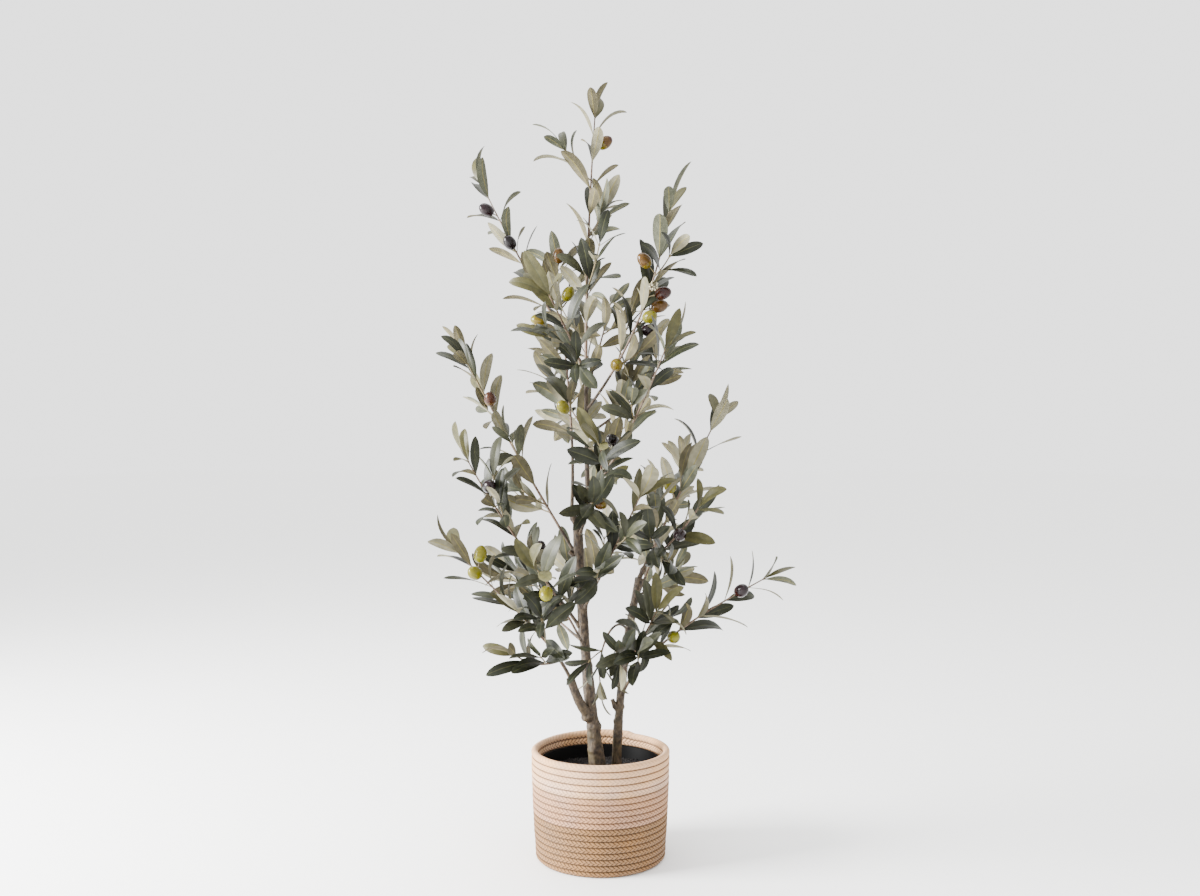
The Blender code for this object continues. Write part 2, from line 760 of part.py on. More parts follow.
def leaf_object(leaf, collection):
    """A leaf as a low six-sided cone, its foot laid out in the leaf's outline."""
    bm = bmesh.new()
    bmesh.ops.create_cone(bm, segments=6, radius1=1, radius2=0, depth=1, cap_ends=True)
    points = leaf_points(leaf)
    foot = {}
    for vertex in bm.verts:
        turn = math.degrees(math.atan2(vertex.co.y, vertex.co.x))
        index = 6 if vertex.co.z > 0 else round((turn + 150) / 60)
        vertex.co = points[index]
        foot[index] = vertex
    bmesh.ops.connect_verts(bm, verts=[foot[1], foot[5]])
    bmesh.ops.connect_verts(bm, verts=[foot[2], foot[4]])
    bmesh.ops.triangulate(bm, faces=bm.faces)
    bmesh.ops.recalc_face_normals(bm, faces=bm.faces)
    mesh = bpy.data.meshes.new("leaf")
    bm.to_mesh(mesh)
    bm.free()
    return mesh_object("leaf", mesh, collection)


def olive_object(fruit, collection):
    bm = bmesh.new()
    bmesh.ops.create_uvsphere(bm, u_segments=6, v_segments=4, radius=0.5)
    stretch = Matrix.Diagonal((OLIVE_WIDTH, OLIVE_WIDTH, OLIVE_LENGTH, 1))
    turn = fruit.along.to_track_quat("Z", "Y").to_matrix().to_4x4()
    middle = fruit.root + fruit.along * (fruit.stalk + OLIVE_LENGTH / 2)
    bmesh.ops.transform(bm, verts=bm.verts, matrix=Matrix.Translation(middle) @ turn @ stretch)
    mesh = bpy.data.meshes.new("olive")
    bm.to_mesh(mesh)
    bm.free()
    return mesh_object("olive", mesh, collection)


def keep_largest(mesh):
    """Drop the scraps that joining can leave beside the one large body, and say
    whether the body is closed."""
    bm = bmesh.new()
    bm.from_mesh(mesh)
    bmesh.ops.remove_doubles(bm, verts=bm.verts, dist=WELD / 10)
    bmesh.ops.triangulate(bm, faces=bm.faces)
    left = set(bm.verts)
    bodies = []
    while left:
        body, edge = set(), [left.pop()]
        while edge:
            vertex = edge.pop()
            body.add(vertex)
            for link in vertex.link_edges:
                other = link.other_vert(vertex)
                if other in left:
                    left.remove(other)
                    edge.append(other)
        bodies.append(body)
    largest = max(bodies, key=len)
    scrap = [vertex for vertex in bm.verts if vertex not in largest]
    bmesh.ops.delete(bm, geom=scrap, context="VERTS")
    closed = all(len(edge.link_faces) == 2 for edge in bm.edges)
    bm.to_mesh(mesh)
    bm.free()
    return closed


def mass(foliage, limb, tree, growth, section):
    route = tree.routes[limb.name]
    twigs, leaves, fruits = grow(foliage, limb, route, growth)
    pieces = new_collection("pieces")
    for twig in twigs[1:]:
        tube("twig", twig.points, taper(twig.base * 1000, twig.tip * 1000, len(twig.points)),
             pieces, section=section)
    for leaf in leaves:
        leaf_object(leaf, pieces)
    for fruit in fruits:
        foot = fruit.root - fruit.along * 0.001
        head = fruit.root + fruit.along * (fruit.stalk + 0.003)
        tube("stalk", [foot, head], [STALK / 2, STALK / 2], pieces, section=section)
        olive_object(fruit, pieces)
    stem = twigs[0]
    name = limb.name + "_foliage"
    part = tube(name, stem.points, taper(stem.base * 1000, stem.tip * 1000, len(stem.points)),
                tree.parts, section=section)
    fuse(part, pieces)
    part.data.materials.clear()
    part.data.materials.append(tree.foliage)
    return part


def build():
    clear_scene()
    parts = new_collection(NAME)
    cutters = new_collection("cutters")
    for make in (basket, liner, soil):
        smooth(make(parts))
    tree = Tree(parts, cutters)
    for limb in LIMBS:
        smooth(bough(limb, tree))
    section = triangle_section(cutters)
    growth = Growth(limb_tree(limb, tree.routes[limb.name]) for limb in LIMBS + SPURS)
    by_name = {limb.name: limb for limb in LIMBS}
    for foliage in FOLIAGE:
        limb = by_name[foliage.limb]
        route = tree.routes[limb.name]
        growth.keep(limb.name, kept_shapes(stem_of(limb, route), fruits_of(limb, route)))
    for foliage in FOLIAGE:
        mass(foliage, by_name[foliage.limb], tree, growth, section)
    bpy.context.view_layer.update()


build()
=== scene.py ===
# %% [markdown]
# # An artificial olive tree in a coiled rope basket
#
# The real object is a made plant, about four feet tall. Two stems with a moulded bark coat
# stand in a black nursery pot, which is weighted, topped with dark crumb and set down in a
# basket. The basket is one braided cotton rope, coiled on itself and stitched row to row.
# The leaves are printed cloth, stiffened with a thin coat of plastic, on wired twigs.
#
# It could be drawn leaf by leaf, but a tree is easier to make the way it grows. A short
# table says where each bough leaves its stem and how it bends, and a seeded rule sets
# twigs, leaves and olives along it. The same table and the same rule made the solids that
# this model stands for, so their leaves come back here in the same places. A second pass
# then adds the finer twigs and leaves that the solids leave out.
#
# Metres, +Z up. The origin is the middle of the basket's flat underside, +X is to the right
# of the tree's front and +Y is towards its back.

import json
import math
import random
from collections import namedtuple

import bpy
import numpy as np
from mathutils import Matrix, Vector, noise
from mathutils.bvhtree import BVHTree
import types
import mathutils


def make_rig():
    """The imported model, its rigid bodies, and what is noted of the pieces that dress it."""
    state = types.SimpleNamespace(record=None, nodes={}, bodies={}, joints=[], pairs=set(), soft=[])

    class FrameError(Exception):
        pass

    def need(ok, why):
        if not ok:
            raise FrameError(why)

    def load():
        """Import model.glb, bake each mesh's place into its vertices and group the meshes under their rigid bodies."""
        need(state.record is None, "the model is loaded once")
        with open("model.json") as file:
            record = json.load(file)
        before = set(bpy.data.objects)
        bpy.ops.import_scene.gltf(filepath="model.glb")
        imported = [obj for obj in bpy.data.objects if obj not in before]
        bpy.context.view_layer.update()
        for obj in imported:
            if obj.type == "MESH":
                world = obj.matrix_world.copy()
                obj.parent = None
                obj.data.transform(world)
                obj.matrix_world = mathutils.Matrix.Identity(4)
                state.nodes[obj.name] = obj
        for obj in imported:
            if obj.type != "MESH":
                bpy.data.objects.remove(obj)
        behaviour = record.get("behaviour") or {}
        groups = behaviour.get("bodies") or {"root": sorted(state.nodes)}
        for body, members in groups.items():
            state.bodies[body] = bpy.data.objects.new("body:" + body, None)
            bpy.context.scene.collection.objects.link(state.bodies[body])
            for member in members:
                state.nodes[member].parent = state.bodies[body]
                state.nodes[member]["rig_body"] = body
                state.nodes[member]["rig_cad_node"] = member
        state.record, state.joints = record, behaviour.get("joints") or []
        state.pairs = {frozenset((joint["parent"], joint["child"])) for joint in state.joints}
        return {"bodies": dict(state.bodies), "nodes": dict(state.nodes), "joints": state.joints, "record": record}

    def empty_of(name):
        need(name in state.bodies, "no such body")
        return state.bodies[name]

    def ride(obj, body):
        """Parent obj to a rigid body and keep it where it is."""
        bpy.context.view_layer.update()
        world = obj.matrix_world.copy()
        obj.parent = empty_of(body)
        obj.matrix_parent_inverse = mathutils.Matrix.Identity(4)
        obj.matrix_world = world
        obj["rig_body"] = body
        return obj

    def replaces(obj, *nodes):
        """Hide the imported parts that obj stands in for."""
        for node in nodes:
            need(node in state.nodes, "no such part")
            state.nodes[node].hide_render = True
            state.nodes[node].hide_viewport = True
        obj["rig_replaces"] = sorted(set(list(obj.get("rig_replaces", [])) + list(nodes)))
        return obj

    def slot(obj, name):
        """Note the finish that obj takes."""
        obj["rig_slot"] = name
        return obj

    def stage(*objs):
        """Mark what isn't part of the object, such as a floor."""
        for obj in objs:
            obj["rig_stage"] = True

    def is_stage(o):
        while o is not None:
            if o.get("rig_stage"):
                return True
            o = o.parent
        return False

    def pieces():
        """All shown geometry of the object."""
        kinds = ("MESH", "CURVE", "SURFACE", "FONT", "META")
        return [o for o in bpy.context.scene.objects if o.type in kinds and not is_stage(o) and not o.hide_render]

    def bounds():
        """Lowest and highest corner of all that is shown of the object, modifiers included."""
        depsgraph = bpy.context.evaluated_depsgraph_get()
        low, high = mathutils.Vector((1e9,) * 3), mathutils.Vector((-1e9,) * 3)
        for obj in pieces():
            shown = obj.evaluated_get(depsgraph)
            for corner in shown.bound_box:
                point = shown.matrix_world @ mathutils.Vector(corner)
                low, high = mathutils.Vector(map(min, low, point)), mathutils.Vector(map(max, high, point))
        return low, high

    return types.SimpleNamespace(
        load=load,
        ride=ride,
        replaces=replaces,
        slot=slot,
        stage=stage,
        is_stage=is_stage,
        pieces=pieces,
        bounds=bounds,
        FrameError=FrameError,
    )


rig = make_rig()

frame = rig.load()
cad_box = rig.bounds()
print("nodes to stand for:", len(frame["nodes"]))

# %% [markdown]
# ## Small tools
#
# A few helpers keep the rest short. The first turns an sRGB colour, as a paint chart gives
# it, into the linear values that a shader works in. One small function adds any shader
# node, and the rest put such nodes together: a mottle, a coat of colour, and a whole
# material of two mottled colours, which is what most things here are made of.

# %% Colours and materials
GRAIN = 0.001                 # one millimetre, the unit that pattern sizes are given in


def linear(code):
    """Linear colour of an sRGB colour written as six hex digits."""
    shares = [part / 255 for part in bytes.fromhex(code)]
    return (*(share / 12.92 if share <= 0.04045 else ((share + 0.055) / 1.055) ** 2.4
              for share in shares), 1.0)


def feed(socket, value):
    """Give an input a constant, another socket, or the output in use of a node."""
    if isinstance(value, bpy.types.Node):
        value = next(output for output in value.outputs if output.enabled)
    if isinstance(value, bpy.types.NodeSocket):
        socket.id_data.links.new(value, socket)
    else:
        socket.default_value = value


def add_node(tree, kind, inputs=(), **settings):
    """A shader node with its settings made and its inputs fed, by name or in order."""
    made = tree.nodes.new("ShaderNode" + kind)
    for name, value in settings.items():
        setattr(made, name, value)
    for name, value in inputs.items() if isinstance(inputs, dict) else enumerate(inputs):
        feed(made.inputs[name], value)
    return made


def mottle(tree, size, low, high, detail=3.0, stretch=(1, 1, 1)):
    """Two colours blended by noise of a given size in millimetres, and that noise."""
    scaled = add_node(tree, "Mapping", {
        "Vector": add_node(tree, "TexCoord").outputs["Object"], "Scale": stretch})
    pattern = add_node(tree, "TexNoise", {"Vector": scaled, "Scale": 1 / (size * GRAIN),
                                          "Detail": detail})
    share = add_node(tree, "MapRange", (pattern, 0.35, 0.65))
    return add_node(tree, "Mix", {0: share, 6: low, 7: high}, data_type="RGBA"), pattern


def paint(surface, tone, height=None, depth=0):
    """Give a surface its colour, and a height that stands a depth in millimetres proud."""
    feed(surface.inputs["Base Color"], tone)
    if height is not None:
        feed(surface.inputs["Normal"], add_node(surface.id_data, "Bump", {
            "Height": height, "Distance": depth * GRAIN, "Strength": 1.0}))


def new_material(name, roughness, ior=1.5, specular=0.5):
    """A material, its node tree and its surface shader, ready to be linked up."""
    made = bpy.data.materials.new(name)
    made.use_nodes = True
    tree = made.node_tree
    tree.nodes.clear()
    surface = add_node(tree, "BsdfPrincipled", {"Roughness": roughness, "IOR": ior,
                                                "Specular IOR Level": specular})
    add_node(tree, "OutputMaterial", {"Surface": surface})
    return made, tree, surface


def mottled(name, roughness, size, low, high, depth=0, grain=(), ior=1.5, specular=0.5):
    """A material of two colours, mottled at a size in millimetres. A depth raises that
    mottle, or a grain of its own size and detail, as a shallow bump."""
    made, tree, surface = new_material(name, roughness, ior, specular)
    tone, pattern = mottle(tree, size, linear(low), linear(high))
    if grain:
        pattern = add_node(tree, "TexNoise", {
            "Vector": add_node(tree, "TexCoord").outputs["Object"],
            "Scale": 1 / (grain[0] * GRAIN), "Detail": grain[1]})
    paint(surface, tone, pattern if depth else None, depth)
    return made


print("a middle grey, 808080, is", round(linear("808080")[0], 3), "in linear values")

# %% [markdown]
# Meshes are made from arrays of points, because thousands of small things are quick to
# make that way and each kind stays one piece. Nearly every shape here is a grid of
# points: rings round an axis, or rings along a path.

# %% Grids, tubes and pieces


def grid_faces(rows, columns, closed=False):
    """Quads of a grid of points; a closed grid joins its last column to its first."""
    row = np.arange(rows - 1)[:, None] * columns
    column = np.arange(columns if closed else columns - 1)[None, :]
    after = (column + 1) % columns
    corners = [row + column, row + after, row + columns + after, row + columns + column]
    return np.stack(np.broadcast_arrays(*corners), axis=-1).reshape(-1, 4)


def turned(profile, sides):
    """Grid of points round the z axis, one ring for each (radius, height)."""
    radii, heights = np.array(profile, dtype=float).T[:, :, None]
    turns = np.linspace(0, 2 * math.pi, sides, endpoint=False)
    return np.stack(np.broadcast_arrays(radii * np.cos(turns), radii * np.sin(turns),
                                        heights), axis=-1)


def aligned(shape, way):
    """Points of a shape with its z axis laid along a direction."""
    return shape @ np.array(way.to_track_quat("Z", "Y").to_matrix()).T


def ring_frames(points):
    """Two directions across a path at each point, carried along without twisting."""
    along = np.gradient(points, axis=0)
    along /= np.linalg.norm(along, axis=1)[:, None]
    steady = np.array([0.0, 0.0, 1.0]) if abs(along[0][2]) < 0.9 else np.array([0.0, 1.0, 0.0])
    side = np.zeros_like(points)
    for index, way in enumerate(along):
        steady = steady - way * steady.dot(way)
        steady /= np.linalg.norm(steady)
        side[index] = steady
    return side, np.cross(along, side)


def tube(points, radii, sides):
    """Grid of points round a path, and its quads. The radius is one for all, one for
    each point of the path, or one for each point of the grid."""
    points = np.array(points, dtype=float)
    side, other = ring_frames(points)
    angles = np.linspace(0, 2 * math.pi, sides, endpoint=False)
    ring = (np.cos(angles)[None, :, None] * side[:, None, :]
            + np.sin(angles)[None, :, None] * other[:, None, :])
    radii = np.array(radii, dtype=float)
    if radii.ndim < 2:
        radii = radii.reshape(-1, 1)
    grid = points[:, None, :] + ring * radii[:, :, None]
    return grid, grid_faces(len(points), sides, closed=True)


class Gather:
    """Points and faces of one shape or many, to be joined into one piece."""

    def __init__(self):
        self.points, self.faces, self.picks = [], [], []

    def add(self, points, faces, pick=0):
        """Add a shape, with one place in the list of materials or one for each face."""
        faces = np.asarray(faces) + len(self.points)
        self.points += np.asarray(points, dtype=float).reshape(-1, 3).tolist()
        self.faces += faces.tolist()
        self.picks += np.broadcast_to(pick, len(faces)).tolist()
        return self

    def piece(self, name, slot, materials, nodes=()):
        """A smooth-shaded piece that rides with the pot, standing for the named solids."""
        mesh = bpy.data.meshes.new(name)
        mesh.from_pydata(self.points, [], self.faces)
        for made in materials:
            mesh.materials.append(made)
        mesh.polygons.foreach_set("material_index", np.array(self.picks, dtype=np.int32))
        mesh.shade_smooth()
        piece = bpy.data.objects.new(name, mesh)
        bpy.context.scene.collection.objects.link(piece)
        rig.ride(piece, "root")
        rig.slot(piece, slot)
        if nodes:
            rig.replaces(piece, *nodes)
        print(name, len(mesh.vertices), "points", len(mesh.polygons), "faces")
        return piece


print("a closed grid of 3 rings of 8 points:", len(grid_faces(3, 8, closed=True)), "quads")

# %% [markdown]
# ## The studio
#
# The tree stands in a plain bright room, lit softly from the front left, and is looked at
# from the height of its middle. A level camera keeps the stems upright. A longer lens
# from further off would flatten the basket's rim, so the lens and the distance go
# together. The floor is nearly white, so that it meets the room without an edge.

# %% Camera, floor and light
LENS, SENSOR = 34.5, 36       # millimetres
EYE = (-0.0008, -1.795, 0.635)
FLOOR = ((-12, -6), (12, -6), (12, 30), (-12, 30))
FLOOR_GAP = 0.0005            # keeps the floor clear of the basket's underside
ROOM_LIGHT = 2.4

scene = bpy.context.scene


def place_in_room(name, data, place=(0, 0, 0)):
    made = bpy.data.objects.new(name, data)
    made.location = place
    scene.collection.objects.link(made)
    return made


def add_light(name, place, aim, size, power):
    """A square soft light that faces a point."""
    data = bpy.data.lights.new(name, "AREA")
    data.size, data.energy = size, power
    lamp = place_in_room(name, data, place)
    lamp.rotation_euler = (Vector(aim) - Vector(place)).to_track_quat("-Z", "Y").to_euler()


camera_data = bpy.data.cameras.new("camera")
camera_data.lens, camera_data.sensor_width = LENS, SENSOR
scene.camera = place_in_room("camera", camera_data, EYE)
scene.camera.rotation_euler = (math.radians(90), 0, 0)

floor_mesh = bpy.data.meshes.new("floor")
floor_mesh.from_pydata([(x, y, -FLOOR_GAP) for x, y in FLOOR], [], [(0, 1, 2, 3)])
white, tree, surface = new_material("pale floor paint", 0.7)
paint(surface, linear("FDFDFC"))
floor_mesh.materials.append(white)
floor = place_in_room("floor", floor_mesh)
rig.stage(floor)

world = bpy.data.worlds.new("room")
world.use_nodes = True
world.node_tree.nodes["Background"].inputs["Color"].default_value = (1, 1, 1, 1)
world.node_tree.nodes["Background"].inputs["Strength"].default_value = ROOM_LIGHT
scene.world = world
add_light("key", (-2.6, -0.6, 1.1), (0, 0, 0.5), 1.3, 480)
add_light("top", (-0.4, 0.3, 2.9), (0, 0, 0.6), 1.4, 40)
print("studio is set")

# %% [markdown]
# ## The basket
#
# The basket is cotton rope about 10 mm thick, wound up in eighteen rows. The upper five
# rows lie a little further apart than the rest. Rows could be eighteen rings, but the
# coil has no gaps to look through, so one turned skin with a groove between every two
# rows says the same with fewer faces, and its few millimetres of unevenness can be pushed
# into the same skin.

# %% Basket: the skin of rope
BASKET_HEIGHT = 0.168
RIM_RADIUS = 0.108
FOOT_RADIUS = 0.1005
FOOT_BEVEL = 0.004            # how much narrower the basket is where it stands
BELLY = 0.0013                # how far the side bulges past a straight cone
ROPE = 0.010
UPPER_ROWS = 5
LOWER_ROWS = 13
ROWS = LOWER_ROWS + UPPER_ROWS
INNER_FROM = 12               # the first groove that the inside of the wall shows
GROOVE = 0.0027
AROUND = 560                  # points round the basket
ROW_STEPS = (-1, -0.94, -0.76, -0.42, 0, 0.42, 0.76, 0.94)
RISE, RISE_FROM = 0.0030, 0.150         # step of the rim, and where it starts to lift


def basket_radius(height):
    share = height / BASKET_HEIGHT
    return FOOT_RADIUS + (RIM_RADIUS - FOOT_RADIUS) * share + BELLY * math.sin(math.pi * share)


def groove_heights():
    """Heights between the rows from the ground up, both ends included."""
    split = BASKET_HEIGHT - UPPER_ROWS * ROPE
    lower = [split * row / LOWER_ROWS for row in range(LOWER_ROWS)]
    return lower + [split + ROPE * row for row in range(UPPER_ROWS + 1)]


def wall_profile(heights, inset, way):
    """Rings up the rows of one side of the wall as (radius, height)."""
    rings = []
    for low, high in zip(heights, heights[1:]):
        for step in ROW_STEPS:
            height = (low + high) / 2 + step * (high - low) / 2
            depth = GROOVE * (1 - math.sqrt(max(0.0, 1 - abs(step) ** 3)))
            rings.append((basket_radius(height) - inset - depth * way, height))
    return [ring for ring in rings if ring[1] < BASKET_HEIGHT - ROPE / 2]


heights = groove_heights()
outside = [(min(radius, FOOT_RADIUS - FOOT_BEVEL + height * 1.1), height)
           for radius, height in wall_profile(heights, 0, 1)]
rim = [(RIM_RADIUS - ROPE / 2 + ROPE / 2 * math.cos(math.radians(turn)),
        BASKET_HEIGHT - ROPE / 2 + ROPE / 2 * math.sin(math.radians(turn)))
       for turn in range(0, 181, 15)]
inside = wall_profile(heights[INNER_FROM:], ROPE, -1)[::-1]
underside = [(0.001, 0), (0.05, 0), (0.0955, 0)]
inner_floor = [(basket_radius(0.1) - ROPE, 0.1), (0.0905, 0.012), (0.0885, ROPE),
               (0.04, ROPE), (0.001, ROPE)]
profile = np.array(underside + outside + rim + inside + inner_floor)
rim_start = len(underside) + len(outside)
rim_end = rim_start + len(rim)


def wobble(turn, height):
    """Unevenness of a row, the same all round its own height."""
    place = Vector((math.cos(turn) * 2.2, math.sin(turn) * 2.2, height * 55))
    return 0.00055 * noise.noise(place) + 0.0003 * noise.noise(place * 4.1)


def rim_rise(turn, height):
    """The rope's end is tucked down behind the tree, which leaves a low step there: it
    goes up within 9 degrees and runs out over 60."""
    degrees = math.degrees(turn) % 360
    up = min(max((degrees - 56) / 9, 0), 1)
    down = min(max((150 - degrees) / 60, 0), 1)
    lift = max(0.0, (height - RISE_FROM) / (BASKET_HEIGHT - RISE_FROM))
    return RISE * up * up * (3 - 2 * up) * down * lift


skin = turned(profile, AROUND)
for ring, (radius, height) in enumerate(profile):
    for step, turn in enumerate(np.linspace(0, 2 * math.pi, AROUND, endpoint=False)):
        skin[ring, step, 2] += rim_rise(turn, height)
        if 0.002 < height and radius > 0.09:   # the wall, not the floor
            skin[ring, step, :2] *= 1 + wobble(turn, height) / radius
print("rings of the skin:", len(profile), "of", AROUND, "points")

# %% [markdown]
# ## Rope and thread
#
# The rope is a flat braid: strands 6.8 mm apart run out from the middle of a row to its
# upper and lower edge, so that each row reads as a line of chevrons. The material measures
# along the rope and across its rows and builds the strands from that. The shade in the
# slits between the strands is painted into the colour, and so is the shade in the seam
# between two rows, which the strands cut into dots. Towards the rim the slits are
# shallower and their painted shade fainter, and inside the wall they are deep and dark
# again. The rope is dyed in three lengths, which comes out as bands: cream at the rim,
# nearly white, a pinkish beige, and tan below. Cotton is matt, so it is rough and has a
# faint sheen.

# %% Rope material
STRANDS = 93                  # strands of the braid round the basket
INNER_ROW = 40                # rows inside the wall are counted from here
DYES = ((0.000, "806041"), (0.400, "7D5E3F"), (0.425, "7B5D3F"), (0.440, "A37D62"),
        (0.480, "9B765C"), (0.690, "9F7B60"), (0.705, "A58467"), (0.760, "BE9B7F"),
        (0.820, "B6916F"), (1.000, "B48F6D"))


def dyed(tree):
    """Colour of the rope by its height on the basket, in soft-edged bands."""
    place = add_node(tree, "SeparateXYZ", [add_node(tree, "TexCoord").outputs["Object"]])
    share = add_node(tree, "Math", (place.outputs["Z"], BASKET_HEIGHT), operation="DIVIDE")
    dye = add_node(tree, "ValToRGB", [share])
    stops = dye.color_ramp.elements
    for position, code in DYES[1:-1]:
        stops.new(position)
    for stop, (position, code) in zip(stops, DYES):
        stop.position, stop.color = position, linear(code)
    stops[-1].position = 1.0
    return dye


rope, tree, surface = new_material("cotton rope", 0.9, ior=1.47, specular=0.1)
surface.inputs["Sheen Weight"].default_value = 0.10
measured = add_node(tree, "SeparateXYZ", [add_node(tree, "UVMap", uv_map="along_rope")])
along, row = measured.outputs["X"], measured.outputs["Y"]

# Strands: each half row is a line of slanted waves, and the two halves are half a strand
# apart.
row_share = add_node(tree, "Math", [row], operation="FRACT")
up_or_down = add_node(tree, "Math", (row_share, 2.0, -1.0), operation="MULTIPLY_ADD")
off_middle = add_node(tree, "Math", [up_or_down], operation="ABSOLUTE")
lower_half = add_node(tree, "Math", (row_share, 0.5), operation="LESS_THAN")
shifted = add_node(tree, "Math", (lower_half, 0.5, along), operation="MULTIPLY_ADD")
slanted = add_node(tree, "Math", (off_middle, 0.75, shifted), operation="MULTIPLY_ADD")
angle = add_node(tree, "Math", (slanted, math.pi), operation="MULTIPLY")
wave = add_node(tree, "Math", [angle], operation="SINE")
crest = add_node(tree, "Math", [wave], operation="ABSOLUTE")
strand = add_node(tree, "Math", (crest, 0.75), operation="POWER")

# Painted shade along the seams at the edges of every sewn row, and the slits between the strands.
inner = add_node(tree, "Math", (row, INNER_ROW - 1), operation="GREATER_THAN")
outer = add_node(tree, "Math", (row, ROWS - 0.4), operation="LESS_THAN")
sewn = add_node(tree, "Math", (inner, outer), operation="ADD")
edge = add_node(tree, "MapRange", (off_middle, 0.72, 0.95))
seam_shade = add_node(tree, "Math", (edge, sewn), operation="MULTIPLY")
slit_strength = add_node(tree, "MapRange", (row, LOWER_ROWS - 5.0, ROWS - 0.4, 0.90, 0.34))
crisp = add_node(tree, "Math", (inner, 0.56, slit_strength), operation="MULTIPLY_ADD")
hollow = add_node(tree, "Math", (1.0, strand), operation="SUBTRACT")
slit = add_node(tree, "Math", (hollow, crisp), operation="MULTIPLY")

# Colour: the dye, faded in patches, with painted shade in the slits and the seams.
place = add_node(tree, "TexCoord").outputs["Object"]
fibre = add_node(tree, "TexNoise", {"Vector": place, "Scale": 1 / (1.3 * GRAIN),
                                    "Detail": 3.0})
blotch = add_node(tree, "TexNoise", {"Vector": place, "Scale": 1 / (14 * GRAIN),
                                     "Detail": 2.0})
# Painted shade in the slits between the strands, stronger inside the wall and fainter towards the rim.
slit_shade = add_node(tree, "Math", (slit, -1.35, 1.25), operation="MULTIPLY_ADD")
uneven = add_node(tree, "Math", (blotch, 0.24, 0.88), operation="MULTIPLY_ADD")
shade = add_node(tree, "Math", (slit_shade, uneven), operation="MULTIPLY")
faded, _ = mottle(tree, 38, (1.05, 1.0, 0.88, 1), (0.96, 0.99, 1.06, 1), 1.0)
tinted = add_node(tree, "Mix", {0: 1.0, 6: dyed(tree), 7: faded}, data_type="RGBA",
                  blend_type="MULTIPLY")
shaded_braid = add_node(tree, "Mix", {0: 1.0, 6: tinted, 7: shade}, data_type="RGBA",
                   blend_type="MULTIPLY")
# Painted shade of the seams: a dark brown-grey, broken into dots where the strands cross them.
dots = add_node(tree, "Math", (strand, -0.5, 1.1), operation="MULTIPLY_ADD")
dotted_seam_shade = add_node(tree, "Math", (seam_shade, dots), operation="MULTIPLY")
seam_shaded_rope = add_node(tree, "Mix", {0: dotted_seam_shade, 6: shaded_braid, 7: linear("352B22")},
                   data_type="RGBA")
sunk = add_node(tree, "Math", (slit, -1.0), operation="MULTIPLY")
relief = add_node(tree, "Math", (fibre, 0.3, sunk), operation="MULTIPLY_ADD")
paint(surface, seam_shaded_rope, relief, 0.9)
print("nodes of the rope material:", len(tree.nodes))

# %% Basket: the measure along the rope, and the piece
faces = grid_faces(len(profile), AROUND, closed=True)
basket = Gather().add(skin, faces).piece("rope_coil", "rope", [rope], ["rope_basket"])
rows_up = np.interp(profile[:, 1], heights, np.arange(len(heights)))
rows_up[rim_start:rim_end] = ROWS - 0.5 + np.linspace(0, 1, len(rim))
corner = np.zeros(len(basket.data.loops), dtype=np.int32)
basket.data.loops.foreach_get("vertex_index", corner)
ring, step = corner // AROUND, corner % AROUND
quad_ring, quad_step = np.divmod(np.repeat(faces[:, 0], 4), AROUND)
step = np.where((quad_step == AROUND - 1) & (step == 0), AROUND, step)
within = np.where(quad_ring >= rim_end, INNER_ROW, 0)
measure = np.stack([step / AROUND * STRANDS, rows_up[ring] + within], axis=-1)
layer = basket.data.uv_layers.new(name="along_rope")
layer.data.foreach_set("uv", measure.ravel().astype(np.float32))

# %% [markdown]
# The rows are sewn to one another with a zigzag of cotton thread, one stitch to a strand.
# It lies in the groove and pulls it in, which adds to the row of small dark dots. Its
# colour is the dye at half its brightness, painted shade of that groove. One bent tube a
# groove is enough.

# %% Basket: the zigzag stitches
THREAD = 0.0005               # radius of the thread, drawn coarser to stay visible
THREAD_OUT = 0.0009           # how deep it lies in its groove
STITCH = 0.0019               # how far it zigzags up and down
INNER_SEWN = 14               # the first groove that shows its thread inside

cotton, tree, surface = new_material("cotton thread", 0.85, ior=1.47, specular=0.2)
# The dye at half its brightness: painted shade of the groove that the thread lies in.
paint(surface, add_node(tree, "Mix", {0: 1.0, 6: dyed(tree), 7: (0.52, 0.51, 0.50, 1)},
                        data_type="RGBA", blend_type="MULTIPLY"))
thread = Gather()
seams = [(height, 0, 1) for height in heights[1:-1]]
seams += [(height, ROPE, -1) for height in heights[INNER_SEWN:-1]]
for height, inset, way in seams:
    zigzag = []
    for step in range(2 * STRANDS + 1):
        turn = math.pi * step / STRANDS
        rise = STITCH if step % 2 else -STITCH
        out = basket_radius(height) - inset - way * THREAD_OUT + wobble(turn, height)
        zigzag.append((out * math.cos(turn), out * math.sin(turn),
                       height + rise + rim_rise(turn, height)))
    thread.add(*tube(zigzag, THREAD, 4))
thread.piece("stitches", "rope", [cotton])

# %% [markdown]
# ## The liner and its fill
#
# The black pot inside is thin moulded plastic with a turned-out lip. It keeps the shape
# of its solid, only rounder. The fill is set and covered with crumbs of dark bark and
# foam, 1 to 4 mm across, with a few dried fibres on top. The crumbs are loose lumps
# with eight faces each, squashed and turned at random, on a bed that is uneven itself.

